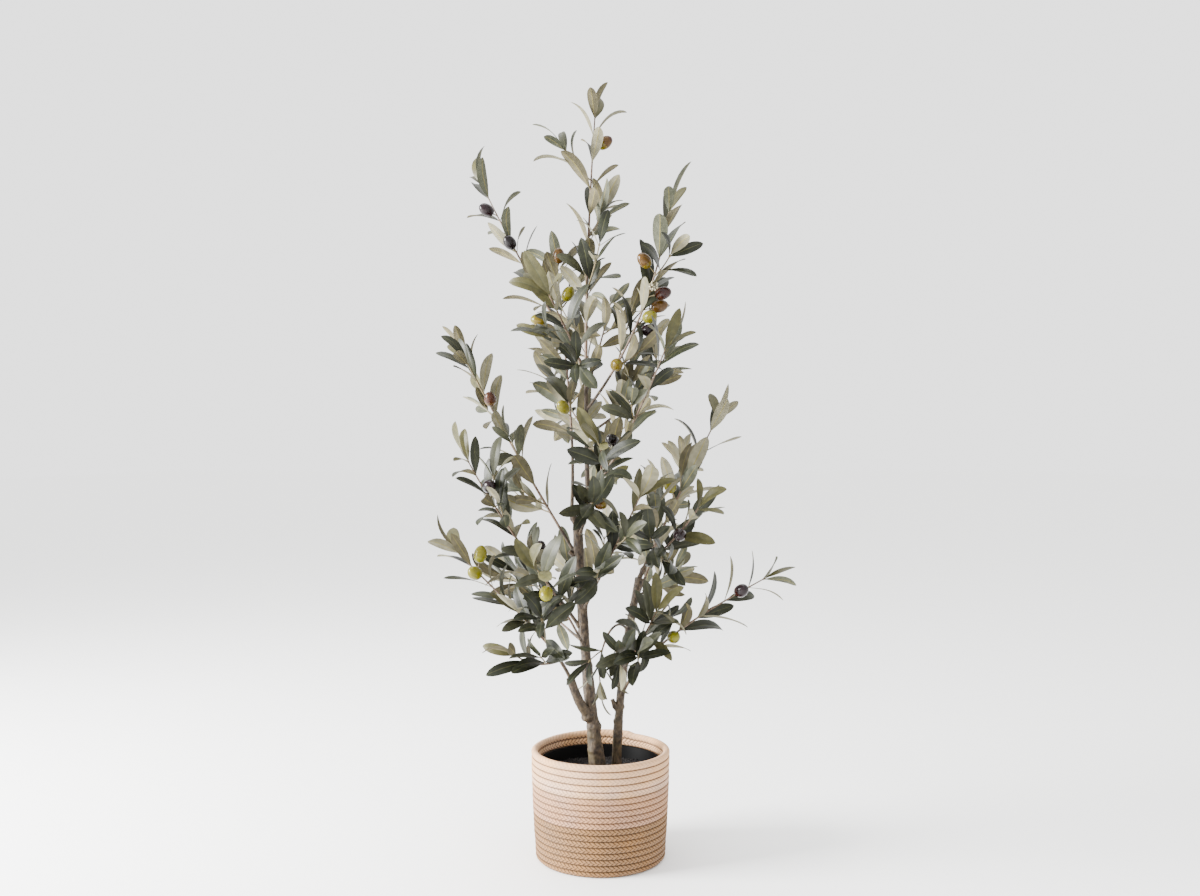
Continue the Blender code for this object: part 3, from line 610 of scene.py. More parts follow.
# %% Liner pot
LINER_TOP = 0.149
LINER_SIDES = 128
plastic = mottled("black polypropylene", 0.5, 25, "070707", "0A0A0A", depth=0.05,
                  grain=(0.8, 2.0), ior=1.49, specular=0.02)
inner_wall = [(0.001, 0.0118), (0.0755, 0.0118), (0.0763, 0.0126)]
lip = [(0.0915, LINER_TOP - 0.001), (0.0921, LINER_TOP - 0.0002), (0.0930, LINER_TOP),
       (0.0948, LINER_TOP), (0.0954, LINER_TOP - 0.0006), (0.0955, LINER_TOP - 0.004),
       (0.0950, LINER_TOP - 0.0042), (0.0931, LINER_TOP - 0.0042)]
outer_wall = [(0.0779, 0.0108), (0.0773, 0.0103), (0.001, 0.0103)]
liner = inner_wall + lip + outer_wall
shell = Gather().add(turned(liner, LINER_SIDES),
                     grid_faces(len(liner), LINER_SIDES, closed=True))
shell.piece("liner", "liner", [plastic], ["liner_pot"])

# %% Potting fill
FILL_TOP = 0.1276
HEAP = 0.0032                 # how much the loose topping adds to the fill
TOPPING = FILL_TOP + HEAP
FILL_RADIUS = 0.0893
BED_RINGS, BED_SPOKES = 34, 120
CRUMBS, FIBRES = 4200, 46
LUMP = np.array([(1, 0, 0), (-1, 0, 0), (0, 1, 0), (0, -1, 0), (0, 0, 1), (0, 0, -1)])
LUMP_FACES = [(0, 2, 4), (2, 1, 4), (1, 3, 4), (3, 0, 4), (2, 0, 5), (1, 2, 5), (3, 1, 5),
              (0, 3, 5)]

rng = random.Random(4)
fill = Gather()
bed = turned([(FILL_RADIUS * max(ring, 0.02) / BED_RINGS, TOPPING - 0.0022)
              for ring in range(BED_RINGS + 1)], BED_SPOKES)
for point in bed.reshape(-1, 3):
    point[2] += 0.0020 * noise.fractal(Vector((point[0], point[1], 0)) * 90, 1.0, 2.0, 4)
fill.add(bed, grid_faces(BED_RINGS + 1, BED_SPOKES, closed=True))
for index in range(CRUMBS):
    reach, turn = FILL_RADIUS * 0.985 * math.sqrt(rng.random()), rng.uniform(0, 2 * math.pi)
    size = rng.choice((0.0007, 0.001, 0.001, 0.0014, 0.002))
    spin = np.array(Matrix.Rotation(rng.uniform(0, 6.28), 3, Vector(
        (rng.uniform(-1, 1), rng.uniform(-1, 1), rng.uniform(-1, 1)))))
    shape = LUMP * [size, size * rng.uniform(0.5, 1), size * rng.uniform(0.4, 0.8)]
    middle = (reach * math.cos(turn), reach * math.sin(turn),
              TOPPING - 0.0016 + rng.uniform(0, 0.0016))
    fill.add(shape @ spin.T + middle, LUMP_FACES)
crumb = mottled("dark bark crumb", 0.95, 4, "090605", "16100D")
fill.piece("crumb_topping", "fill", [crumb], ["potting_fill"])

fibres = Gather()
for index in range(FIBRES):
    reach, turn = 0.078 * math.sqrt(rng.random()), rng.uniform(0, 2 * math.pi)
    here = Vector((reach * math.cos(turn), reach * math.sin(turn), TOPPING))
    heading, curl = rng.uniform(0, 6.28), rng.uniform(-0.5, 0.5)
    strand = []
    for step in range(9):
        strand.append(tuple(here))
        here += Vector((math.cos(heading), math.sin(heading), 0)) * 0.0024
        here.z = TOPPING + 0.0008 + 0.0014 * math.sin(step * 0.4)
        heading += curl * 0.5
        if here.x ** 2 + here.y ** 2 > 0.085 ** 2:
            break
    if len(strand) > 2:
        fibres.add(*tube(strand, 0.00022, 3))
fibres.piece("fill_fibres", "fill", [mottled("dried fibre", 0.8, 6, "1D1A18", "33302D")])

# %% [markdown]
# ## Stems and boughs as a table
#
# A limb is given the way one would describe it on the real tree: which limb it leaves and
# where, which way it heads, how steeply it rises, how much it turns and bends on the way,
# how long it is, how much of it is bare, and how thick it is at its foot and where its
# leaves begin. Headings run from 0 degrees on the right over 90 at the back, and lengths
# are in millimetres. A spur is a short limb that is part of its stem: an arm of the fork,
# or the stub of a cut twig.

# %% Limbs, spurs and their routes
GAP = 0.0003                  # between a solid and the one that it meets
TRUNK_FOOT = (-0.003, -0.005)
STEM_FOOT = (0.025, 0.012)
STEM_TAPER = 3.0              # stems thin quickly above their foot, then slowly
FLARE = 0.10
KNOT = 0.06
LIMB_STEP = 0.028             # between two rings of a limb in the solids
ROUTE_STEPS = 48
Limb = namedtuple("Limb", "name parent at heading turn rise bend length bare base tip")


def table(text, kind):
    """Rows of a text table, each one a name followed by numbers and names."""
    def value(cell):
        for number in (int, float):
            try:
                return number(cell)
            except ValueError:
                continue
        return None if cell == "-" else cell
    return [kind(*map(value, row.split())) for row in text.strip().splitlines()]


LIMBS = table("""
trunk         -           0 180 0 82.7 5 392 392 25 15
second_stem   -           0 14 -4 89 -12 305 305 16 12.5
left_stub     trunk       0.21 219 3 48 22 86 86 16 13
leader        right_arm   1.0 0 10 92 -6 610 225 8 5.5
upper_left    leader      0.345 156 -2 55 7 360 70 4.8 4
upper_right   leader      0.253 330 -19 47 29 335 70 5 4
inner_left    left_arm    0.9 135 -38 95 -34 405 125 6 4
left_mid      trunk       0.85 167 0 57 5 375 60 6.5 4.5
left_low_mid  trunk       0.57 191 50 55 -7 345 70 6.5 4.5
left_low      left_stub   0.98 249 -88 47 -3 283 75 6 4.5
left_bottom   left_low    0.17 227 -5 -10 45 95 25 4 3.5
right_low     second_stem 0.38 295 86 52 -28 323 60 6 4.5
right_mid     second_stem 1.0 24 0 62 -2 293 50 8 5
right_low_mid right_mid   0.11 286 18 14 30 190 35 5 4
right_twig    second_stem 0.90 52 -5 14 12 115 25 4.5 3.5
centre_right  leader      0.02 310 -5 44 13 290 60 6 4
inner_right   trunk       0.65 304 0 50 1 240 55 5.5 4
droop         second_stem 0.70 247 -5 47 -150 165 75 4 3.5
back_low      trunk       0.67 86 -18 12 23 255 50 5.5 4
back_left     trunk       0.53 120 5 14 12 260 55 5.5 4
back_right    second_stem 0.85 57 18 49 -10 305 55 5.5 4
back_mid      leader      0.13 78 62 11 40 265 50 5 4
front_low     trunk       0.50 251 6 40 -15 270 55 5.5 4
front_mid     trunk       0.93 302 -42 55 -38 255 50 5 4
right_front   second_stem 0.52 295 -6 40 2 165 40 5 4
right_upper   leader      0.18 7 15 30 32 205 45 4.5 4
back_top      leader      0.30 76 0 41 7 230 45 4.5 4
front_top     leader      0.32 267 -32 25 23 205 45 4.5 4
""", Limb)

SPURS = table("""
right_arm     trunk       0.97 355 0 54 16 35 35 11 9
left_arm      trunk       0.97 190 0 66 6 30 30 10 8
trunk_stub    trunk       0.86 185 0 35 8 20 20 8 7
stem_stub     second_stem 0.30 195 0 62 6 26 26 8 6.5
""", Limb)


def heading_vector(heading, rise):
    flat = math.cos(math.radians(rise))
    return Vector((flat * math.cos(math.radians(heading)),
                   flat * math.sin(math.radians(heading)),
                   math.sin(math.radians(rise))))


def limb_route(limb, start):
    """Points along the whole limb, its leafy part included."""
    points = [Vector(start)]
    stride = limb.length / 1000 / ROUTE_STEPS
    for step in range(ROUTE_STEPS):
        share = (step + 0.5) / ROUTE_STEPS
        toward = heading_vector(limb.heading + limb.turn * share,
                                limb.rise + limb.bend * share)
        points.append(points[-1] + toward * stride)
    return points


def point_on(points, distance):
    """Point and direction at a distance along a route of even steps."""
    stride = (points[1] - points[0]).length
    place = min(max(distance / stride, 0), len(points) - 1.001)
    index = int(place)
    here, there = points[index], points[index + 1]
    return here.lerp(there, place - index), (there - here).normalized()


def route_part(points, start, end, count):
    """Evenly spaced points between two distances along a route."""
    return [point_on(points, start + (end - start) * i / (count - 1))[0]
            for i in range(count)]


def taper(base, tip, count, power=1.0):
    """Radii in metres of a limb whose diameters are given in millimetres."""
    return [(tip + (base - tip) * (1 - i / (count - 1)) ** power) / 2000
            for i in range(count)]


def limb_radii(limb, count):
    """Tapering radii, with a root flare at the foot and low knots on the stems."""
    if limb.parent is not None:
        return taper(limb.base, limb.tip, count)
    radii = taper(limb.base, limb.tip, count, STEM_TAPER)
    for index in range(count):
        share = index / (count - 1)
        radii[index] *= 1 + FLARE * math.exp(-share * 14)
        radii[index] *= 1 + KNOT * math.sin(share * 23 + limb.base)
    return radii


routes = {limb.name: limb_route(limb, (*foot, FILL_TOP + GAP))
          for limb, foot in zip(LIMBS, (TRUNK_FOOT, STEM_FOOT))}
for limb in SPURS + LIMBS[2:]:
    routes[limb.name] = limb_route(limb, routes[limb.parent][round(limb.at * ROUTE_STEPS)])
by_name = {limb.name: limb for limb in LIMBS}
print("limbs:", len(LIMBS), "spurs:", len(SPURS))

# %% [markdown]
# ## Bark
#
# The moulded coat copies the bark of a young olive: long shallow ridges along the stem,
# a swollen ring wherever a bough leaves, and a few knots. The ridges are pushed into the
# mesh as noise that is stretched along the limb, so they catch the light from the side,
# and finer cracks are left to the material. Each bough starts inside its stem, with a
# collar where it comes out. The foot of the stems is a little green, as old bark is.

# %% Bark mesh
Knot = namedtuple("Knot", "limb share heading size reach")
KNOTS = table("""
trunk 0.190 350 3.2 13
trunk 0.255 200 2.0 9
trunk 0.43 20 1.2 7
trunk 0.44 190 1.3 7
trunk 0.57 180 1.1 6
trunk 0.67 350 1.1 6
trunk 0.975 100 2.0 9
trunk 0.10 230 1.2 8
second_stem 0.255 190 1.5 5
second_stem 0.33 10 1.6 5
second_stem 0.60 60 1.0 6
second_stem 0.85 220 1.0 6
second_stem 0.99 30 1.5 7
left_stub 0.12 180 1.3 6
left_stub 0.55 60 0.8 5
left_stub 0.95 270 1.2 5
""", Knot)
RIDGES, CRUMPLE = 0.060, 0.045          # relief of the bark, of a limb's radius
COLLAR, COLLAR_REACH = 0.45, 0.0035
STEM_RING, BOUGH_RING = 0.0021, 0.0026  # between two rings of the mesh


def collar_at(limb):
    """Distance along a bough at which it comes out of its stem."""
    mother = by_name[limb.parent]
    spread = mother.tip + (mother.base - mother.tip) * (1 - limb.at) ** STEM_TAPER
    return spread / 2000 / max(0.45, math.sin(math.radians(90 - limb.rise)))


def bark_relief(limb, points, radii, sides, collar):
    """Radius at every point of a limb's skin: taper, ridges, knots and collar."""
    side, other = ring_frames(points)
    length = limb.bare / 1000
    knots = [knot for knot in KNOTS if knot.limb == limb.name]
    skin = np.zeros((len(points), sides))
    for ring in range(len(points)):
        share = ring / (len(points) - 1)
        away = (share * length - collar) / COLLAR_REACH
        swell = COLLAR * math.exp(-away ** 2) if collar else 0
        for step in range(sides):
            turn = 2 * math.pi * step / sides
            out = side[ring] * math.cos(turn) + other[ring] * math.sin(turn)
            ridge = noise.noise(Vector((math.cos(turn) * 1.9, math.sin(turn) * 1.9,
                                        share * length * 42 + limb.base)))
            crumple = noise.noise(Vector(points[ring] + out * radii[ring]) * 210)
            radius = radii[ring] * (1 + RIDGES * ridge + CRUMPLE * crumple + swell)
            for knot in knots:
                facing = max(0.0, out.dot(np.array(heading_vector(knot.heading, 0))))
                away = (share - knot.share) * limb.bare / knot.reach
                radius += knot.size / 1000 * facing ** 2 * math.exp(-away * away * 2)
                radius += knot.size / 4000 * math.exp(-away * away * 14)
            skin[ring, step] = radius
    return skin


bark_wood = Gather()
for limb in LIMBS + SPURS:
    bare = limb.bare / 1000
    spacing, sides = (BOUGH_RING, 18) if limb.parent else (STEM_RING, 36)
    count = max(7, round(bare / spacing))
    points = np.array(route_part(routes[limb.name], 0, bare, count), dtype=float)
    collar = collar_at(limb) if limb.parent in ("trunk", "second_stem") else 0
    grid, faces = tube(points, bark_relief(limb, points, limb_radii(limb, count), sides,
                                           collar), sides)
    bark_wood.add(grid, faces)
    cap = np.concatenate([grid[-1], [points[-1] + (points[-1] - points[-2]) * 0.15]])
    bark_wood.add(cap, [(step, (step + 1) % sides, sides) for step in range(sides)])
print("points of bark on all limbs:", len(bark_wood.points))

# %% Bark material and the piece
GREEN_FROM, GREEN_TO = 0.26, 0.17       # heights between which the bark turns green

bark, tree, surface = new_material("moulded bark", 0.62, ior=1.46, specular=0.3)
patches, _ = mottle(tree, 13, linear("1C140E"), linear("41362B"))
streaks, grain = mottle(tree, 4.2, linear("070503"), linear("5C4D3B"), 5.0, (1, 1, 0.6))
place = add_node(tree, "TexCoord").outputs["Object"]
height = add_node(tree, "SeparateXYZ", [place]).outputs["Z"]
foot = add_node(tree, "MapRange", (height, GREEN_FROM, GREEN_TO))
lichen = add_node(tree, "TexNoise", {"Vector": place, "Scale": 1 / (20 * GRAIN),
                                     "Detail": 2.0})
spots = add_node(tree, "MapRange", (lichen, 0.40, 0.60))
greened = add_node(tree, "Math", (foot, spots), operation="MULTIPLY")
share = add_node(tree, "Math", (greened, 0.6), operation="MULTIPLY")
base = add_node(tree, "Mix", {0: 0.5, 6: patches, 7: streaks}, data_type="RGBA")
tone = add_node(tree, "Mix", {0: share, 6: base, 7: linear("453C24")}, data_type="RGBA")
paint(surface, tone, grain, 2.0)
bark_wood.piece("bark", "bark", [bark], [limb.name for limb in LIMBS])

# %% [markdown]
# ## Foliage by a rule
#
# Each bough carries on as a leafy stem. The rule walks down it from the tip: a leaf that
# carries the stem on with a pair beside it, then side twigs a golden angle apart, then
# pairs of leaves, each pair square to the one before. Every twig and leaf is tried
# against what has grown already. One that would touch is turned and lifted a few times,
# and left out if nothing helps, as real leaves make way for each other.
#
# The solids carry about as many leaves as a simple model can. The real tree has more, on
# short side shoots between the pairs, so a second pass adds shoots and leaves wherever
# they find room, and leaves the outline as it is. It has a seed of its own for each mass.

# %% Tables of the foliage and the olives
Foliage = namedtuple("Foliage", "limb seed twigs twig_length leaf more_seed shoots pairs")
FOLIAGE = table("""
leader        63 4 85 68 8 2 0
upper_left    46 0 75 68 16 0 1
upper_right   11 1 80 68 4 3 1
inner_left    26 0 80 68 17 4 1
left_mid      16 2 80 68 16 3 0
left_low_mid  48 1 75 66 14 5 1
left_low      26 1 70 64 16 1 1
left_bottom   73 1 50 62 9 0 1
right_low     71 1 65 66 16 0 1
right_mid     6 1 75 68 17 1 1
right_low_mid 83 1 65 66 4 2 1
right_twig    83 0 55 66 2 3 1
centre_right  24 1 75 70 5 2 0
inner_right   59 1 70 68 6 2 1
droop         56 0 50 60 11 2 0
right_front   17 1 65 66 19 3 1
right_upper   5 1 70 68 15 3 1
back_low      73 1 75 70 3 0 1
back_left     88 0 75 68 1 4 0
back_right    54 1 75 68 20 2 1
back_mid      69 1 75 70 14 5 1
front_low     38 0 70 66 19 2 1
front_mid     28 1 70 68 4 3 0
back_top      8 0 70 68 10 2 0
front_top     86 1 70 68 14 1 1
""", Foliage)

# An olive's place is a share of the leafy part, a roll round it and the stalk's length.
# Its ripeness runs from 0, yellow-green, to 1, black, and is given at stalk and tip.
Olive = namedtuple("Olive", "limb along roll stalk ripe_stalk ripe_tip")
OLIVES = table("""
leader        0.86 165 9 0.05 0.62
upper_left    0.78 165 9 0.80 0.95
upper_left    0.54 195 9 0.95 1.00
upper_left    0.08 120 13 0.35 0.15
inner_left    0.98 270 13 0.35 0.50
inner_left    0.74 300 11 0.05 0.15
inner_left    0.08 60 11 0.10 0.20
upper_right   0.64 330 13 0.30 0.45
upper_right   0.50 105 13 0.55 0.75
upper_right   0.42 135 13 0.45 0.35
upper_right   0.36 75 13 0.00 0.15
upper_right   0.28 120 13 0.85 1.00
upper_right   0.04 30 9 0.45 0.20
left_mid      0.68 210 9 0.40 0.60
centre_right  0.22 0 13 0.80 1.00
left_low_mid  0.78 165 13 1.00 0.90
left_low_mid  0.26 225 13 0.75 0.90
right_mid     0.36 270 13 0.15 0.05
front_mid     0.16 105 9 0.90 0.25
left_low      0.80 270 13 0.05 0.10
left_low      0.74 180 11 0.25 0.15
right_low_mid 0.62 45 9 0.50 0.95
front_low     0.76 105 13 0.20 0.05
right_low     0.78 345 9 0.60 0.95
right_low     0.34 15 9 0.15 0.05
""", Olive)
print("masses of foliage:", len(FOLIAGE), "olives:", len(OLIVES))

# %% Shapes that the rule tries for room
STEM_SIDES = 8
LEAF_WIDTH = 0.30             # of a leaf's length
LEAF_THICK = 0.022
ARCH = (0.01, 0.15)           # how far a leaf's tip bends back, of its length
CLEARANCE = 0.0006            # kept round a leaf or a twig when it is placed
LEAF_ROOT = 0.2               # share of a leaf that may touch its own mass
LEAF_TWIST = 35               # degrees either way that a leaf twists about its rib
TWIG_BASE = 0.0030            # diameters
TWIG_TIP = 0.0020
STALK = 0.0020
OLIVE_LENGTH = 0.0270
OLIVE_WIDTH = 0.0195
LEAF_FACES = [(i, (i + 1) % 6, 6) for i in range(6)] + [(0, 5, 1), (1, 5, 4, 2), (2, 4, 3)]

Leaf = namedtuple("Leaf", "root along face length width arch")
Fruit = namedtuple("Fruit", "root along stalk ripe")


def across(direction, roll):
    """Unit vector square to a direction, turned about it by a roll in degrees."""
    steady = Vector((0, 0, 1)) if abs(direction.z) < 0.95 else Vector((0, 1, 0))
    side = direction.cross(steady).normalized()
    return Matrix.Rotation(math.radians(roll), 3, direction) @ side


def leaning(direction, roll, spread):
    """Direction that leans away from a twig by a spread in degrees."""
    lean = math.radians(spread)
    return direction * math.cos(lean) + across(direction, roll) * math.sin(lean)


def leaf_tree(leaf, root=0.0):
    """Search tree of a leaf with clear air round it, from a share of its length on."""
    side = leaf.face.cross(leaf.along)
    half = leaf.width / 2 + CLEARANCE
    outline = [(root, 0), (0.36, -0.8), (0.74, -1), (1, 0), (0.74, 1), (0.36, 0.8)]
    points = []
    for share, breadth, lift in ([(*spot, -CLEARANCE) for spot in outline]
                                 + [(0.55, 0, LEAF_THICK * leaf.length + CLEARANCE)]):
        drop = leaf.arch * leaf.length * share ** 2
        points.append(leaf.root + leaf.along * (leaf.length * share)
                      + side * (half * breadth) + leaf.face * (lift - drop))
    return BVHTree.FromPolygons(points, LEAF_FACES)


def tube_tree(points, radii, sides):
    """Search tree of a tube with clear air round it."""
    corners = []
    wider = 1 / math.cos(math.pi / sides)
    for index, (place, radius) in enumerate(zip(points, radii)):
        ahead = points[min(index + 1, len(points) - 1)]
        behind = points[max(index - 1, 0)]
        direction = (ahead - behind).normalized()
        for corner in range(sides):
            out = across(direction, 360 * corner / sides)
            corners.append(place + out * (radius + CLEARANCE) * wider)
    faces = [list(map(int, face)) for face in grid_faces(len(points), sides, closed=True)]
    return BVHTree.FromPolygons(corners, faces)


def twig_tree(points, base=TWIG_BASE, tip=TWIG_TIP):
    return tube_tree(points, taper(base * 1000, tip * 1000, len(points)), 4)


def limb_tree(limb):
    """Search tree of a limb's bare part, whose second ring stands plumb on a stem."""
    bare = limb.bare / 1000
    count = max(3, round(bare / LIMB_STEP))
    points = route_part(routes[limb.name], 0, bare, count)
    if limb.parent is None:
        points[1].xy = points[0].xy
    return tube_tree(points, limb_radii(limb, count), STEM_SIDES)


def fruit_tree(fruit):
    middle = fruit.root + fruit.along * (fruit.stalk + OLIVE_LENGTH / 2)
    points, faces = [], []
    for step in range(6):
        points.append(middle + across(fruit.along, 60 * step) * (OLIVE_WIDTH / 2 + CLEARANCE))
        faces += [(step, (step + 1) % 6, 6), (step, (step + 1) % 6, 7)]
    for sign in (-1, 1):
        points.append(middle + fruit.along * sign * (OLIVE_LENGTH / 2 + CLEARANCE))
    return BVHTree.FromPolygons(points, faces)


print("clear air kept round every shape:", CLEARANCE, "m")

# %% The growing rule
INTERNODE = 0.042             # between two pairs of leaves on a stem
TWIG_INTERNODE = 0.038
TIP_INTERNODE = 0.030         # from the last pair of leaves to the tip of the stem
SPREAD = (25, 46)             # degrees between a leaf and its twig
TWIG_SPREAD = (38, 58)
OLIVE_SPREAD = 55             # degrees between a stem and its olives' stalks
GOLDEN_ANGLE = 137.5          # degrees round the stem from one side twig to the next
TWIG_FIRST = 0.08             # where the side twigs begin, of a stem's leafy part
TWIG_ZONE = 0.66              # how much of the leafy part they are spread over
TRIES = 5                     # places that are tried for a leaf or a twig
LEAF_DODGE = 24               # degrees that a leaf is turned between two tries
TWIG_DODGE = 35
TWIG_STEPS = 3


class Growth:
    """What has grown so far, and the rule that adds to it where there is room. A mass
    is called by its limb's name, and keeps the place of its stem and its olives from
    the start."""

    def __init__(self, limbs):
        self.limbs = [limb_tree(limb) for limb in limbs]
        self.whole, self.rootless = {}, {}

    def turn_to(self, name, seed):
        """Go on with one mass, with a seed and new lists of twigs and leaves."""
        self.name, self.rng = name, random.Random(seed)
        self.twigs, self.leaves = [], []

    def add_if_clear(self, shape, whole):
        """Add a shape if it is clear: as a whole of the limbs and the other masses, and
        without its root of its own mass."""
        if any(whole.overlap(limb) for limb in self.limbs):
            return False
        for name, pieces in self.whole.items():
            if name != self.name and any(whole.overlap(piece) for piece in pieces):
                return False
        if any(shape.overlap(piece) for piece in self.rootless[self.name]):
            return False
        self.whole[self.name].append(whole)
        self.rootless[self.name].append(shape)
        return True

    def leaf(self, place, direction, roll, size, spread=None):
        """Add a leaf, turned or lifted until it is clear of the rest, or skip it."""
        rng = self.rng
        for attempt in range(TRIES):
            turn = roll + attempt * rng.choice((-LEAF_DODGE, LEAF_DODGE))
            lean = spread if spread is not None else rng.uniform(*SPREAD)
            along = leaning(direction, turn, lean).normalized()
            face = direction - along * direction.dot(along)
            twist = Matrix.Rotation(math.radians(rng.uniform(-LEAF_TWIST, LEAF_TWIST)), 3,
                                    along)
            length = size * rng.uniform(0.84, 1.20)
            width = length * LEAF_WIDTH * rng.uniform(0.9, 1.15)
            leaf = Leaf(place, along, twist @ face.normalized(), length, width,
                        rng.uniform(*ARCH))
            if self.add_if_clear(leaf_tree(leaf, LEAF_ROOT), leaf_tree(leaf)):
                self.leaves.append(leaf)
                return

    def pair(self, place, direction, roll, size):
        for side in (0, 180):
            self.leaf(place, direction, roll + side, size)

    def cluster(self, points, size):
        """A leaf that carries the twig on, with a pair beside it."""
        tip = points[-1]
        direction = (points[-1] - points[-2]).normalized()
        roll = self.rng.uniform(0, 360)
        self.leaf(tip - direction * 0.0015, direction, roll, size,
                  self.rng.uniform(3, 10))
        for side in (0, 180):
            self.leaf(tip - direction * 0.004, direction, roll + 90 + side, size * 0.85,
                      self.rng.uniform(28, 42))

    def side_twig(self, route, distance, roll, length, size):
        """A side twig with its own pairs of leaves, bent back towards its stem."""
        place, direction = point_on(route, distance)
        for attempt in range(TRIES):
            turn = roll + attempt * self.rng.choice((-TWIG_DODGE, TWIG_DODGE))
            toward = leaning(direction, turn, self.rng.uniform(*TWIG_SPREAD))
            lift = (direction + Vector((0, 0, 0.4))).normalized()
            points = [place.copy()]
            for step in range(TWIG_STEPS):
                heading = toward.lerp(lift, 0.5 * step / TWIG_STEPS).normalized()
                points.append(points[-1] + heading * (length / TWIG_STEPS))
            if self.add_if_clear(twig_tree(points[1:]), twig_tree(points)):
                break
        else:
            return
        self.twigs.append(points)
        self.cluster(points, size * 0.95)
        first_roll = self.rng.uniform(0, 180)
        for pair in range(max(1, round((length - 0.022) / TWIG_INTERNODE))):
            spot, way = point_on(points, length - TWIG_INTERNODE * (pair + 0.85))
            self.pair(spot, way, first_roll + 90 * pair, size * 0.95)


class Mass:
    """A limb's leafy part, with the stem and the olives that it has from the start."""

    def __init__(self, foliage):
        self.foliage, self.limb = foliage, by_name[foliage.limb]
        self.size = foliage.leaf / 1000
        self.route = routes[foliage.limb]
        bare = self.limb.bare / 1000
        before = point_on(self.route, bare - LIMB_STEP / 2)[1]
        after = point_on(self.route, bare + LIMB_STEP / 2)[1]
        # Its flat end clears its bough, which takes a wider gap where the limb bends.
        self.start = bare + GAP + self.limb.tip / 2000 * math.sin(before.angle(after))
        self.end = self.limb.length / 1000
        self.leafy = self.end - self.start
        count = max(4, round(self.leafy / LIMB_STEP))
        self.stem = route_part(self.route, self.start, self.end, count)
        self.fruits = []
        for olive in OLIVES:
            if olive.limb == foliage.limb:
                spot, way = self.spot(olive.along)
                self.fruits.append(Fruit(
                    spot, leaning(way, olive.roll, OLIVE_SPREAD).normalized(),
                    olive.stalk / 1000, (olive.ripe_stalk, olive.ripe_tip)))

    def spot(self, share):
        return point_on(self.route, self.start + self.leafy * share)

    def first_shapes(self):
        shapes = [twig_tree(self.stem, self.limb.tip / 1000)]
        for fruit in self.fruits:
            stalk = [fruit.root, fruit.root + fruit.along * fruit.stalk]
            shapes += [fruit_tree(fruit), twig_tree(stalk, STALK, STALK)]
        return shapes

    def grow(self, growth):
        """Twigs and leaves, by a rule that the seed alone varies."""
        foliage = self.foliage
        growth.turn_to(foliage.limb, foliage.seed)
        growth.cluster(self.stem, self.size)
        roll = growth.rng.uniform(0, 360)
        for index in range(foliage.twigs):
            share = TWIG_FIRST + TWIG_ZONE * index / max(1, foliage.twigs - 1)
            length = foliage.twig_length / 1000 * (1.1 - 0.45 * share)
            length *= growth.rng.uniform(0.85, 1.15)
            growth.side_twig(self.route, self.start + self.leafy * share,
                             roll + GOLDEN_ANGLE * index, length, self.size)
        for pair in range(int((self.leafy - 0.02) / INTERNODE)):
            spot, way = point_on(self.route, self.end - TIP_INTERNODE - INTERNODE * pair)
            growth.pair(spot, way, roll + 45 + 90 * pair, self.size)
        self.twigs, self.leaves = growth.twigs, growth.leaves

    def grow_finer(self, growth):
        """Short shoots and loose leaves between those of the first pass."""
        growth.turn_to(self.foliage.limb, self.foliage.more_seed)
        rng, shoots = growth.rng, self.foliage.shoots
        roll = rng.uniform(0, 360)
        for index in range(shoots):
            share = 0.05 + 0.80 * (index + rng.uniform(0, 0.6)) / shoots
            length = 0.001 * rng.uniform(30, 62) * (1.1 - 0.4 * share)
            growth.side_twig(self.route, self.start + self.leafy * share,
                             roll + GOLDEN_ANGLE * index, length, self.size * 0.92)
        for points in [self.stem] + self.twigs:
            reach = sum((b - a).length for a, b in zip(points, points[1:]))
            for _ in range(self.foliage.pairs):
                spot, way = point_on(points, reach * rng.uniform(0.15, 0.95))
                growth.pair(spot, way, rng.uniform(0, 360), self.size * 0.9)
        self.twigs, self.leaves = self.twigs + growth.twigs, self.leaves + growth.leaves


# %% Grow the tree
growth = Growth(LIMBS + SPURS)
masses = {foliage.limb: Mass(foliage) for foliage in FOLIAGE}
for name, mass in masses.items():
    growth.whole[name] = mass.first_shapes()
    growth.rootless[name] = list(growth.whole[name])
for mass in masses.values():
    mass.grow(growth)
print("leaves by the first pass:", sum(len(mass.leaves) for mass in masses.values()))
for mass in masses.values():
    mass.grow_finer(growth)
print("leaves by both passes:", sum(len(mass.leaves) for mass in masses.values()))

# %% [markdown]
# ## Twigs
#
# Twigs are wire wound with paper tape and dipped, tan to pinkish brown where they are
# thick and olive green towards their tips, with a small swelling under every leaf. They
# are plain tapering tubes with rounded bends. The stem of a mass follows its limb's own
# route, so it carries the bough on without a kink.

# %% Twig mesh
BROWN, GREEN = 0, 1           # places of the two twig materials
BEAD = (0.0015, 0.0015, 0.0024)         # half sizes of the swelling under a leaf
STALK_RADII = (0.0010, 0.0008, 0.00075, 0.00075, 0.0009, 0.0015)


def rounded(points, count):
    """More points on a smooth curve through the given ones."""
    ends = [points[0] * 2 - points[1], *points, points[-1] * 2 - points[-2]]
    smooth = []
    for index in range(count):
        place = index / (count - 1) * (len(points) - 1.0001)
        which, share = int(place), place - int(place)
        a, b, c, d = ends[which:which + 4]
        smooth.append(0.5 * (2 * b + (c - a) * share + (2 * a - 5 * b + 4 * c - d) * share ** 2
                             + (3 * b - 3 * c + d - a) * share ** 3))
    return smooth


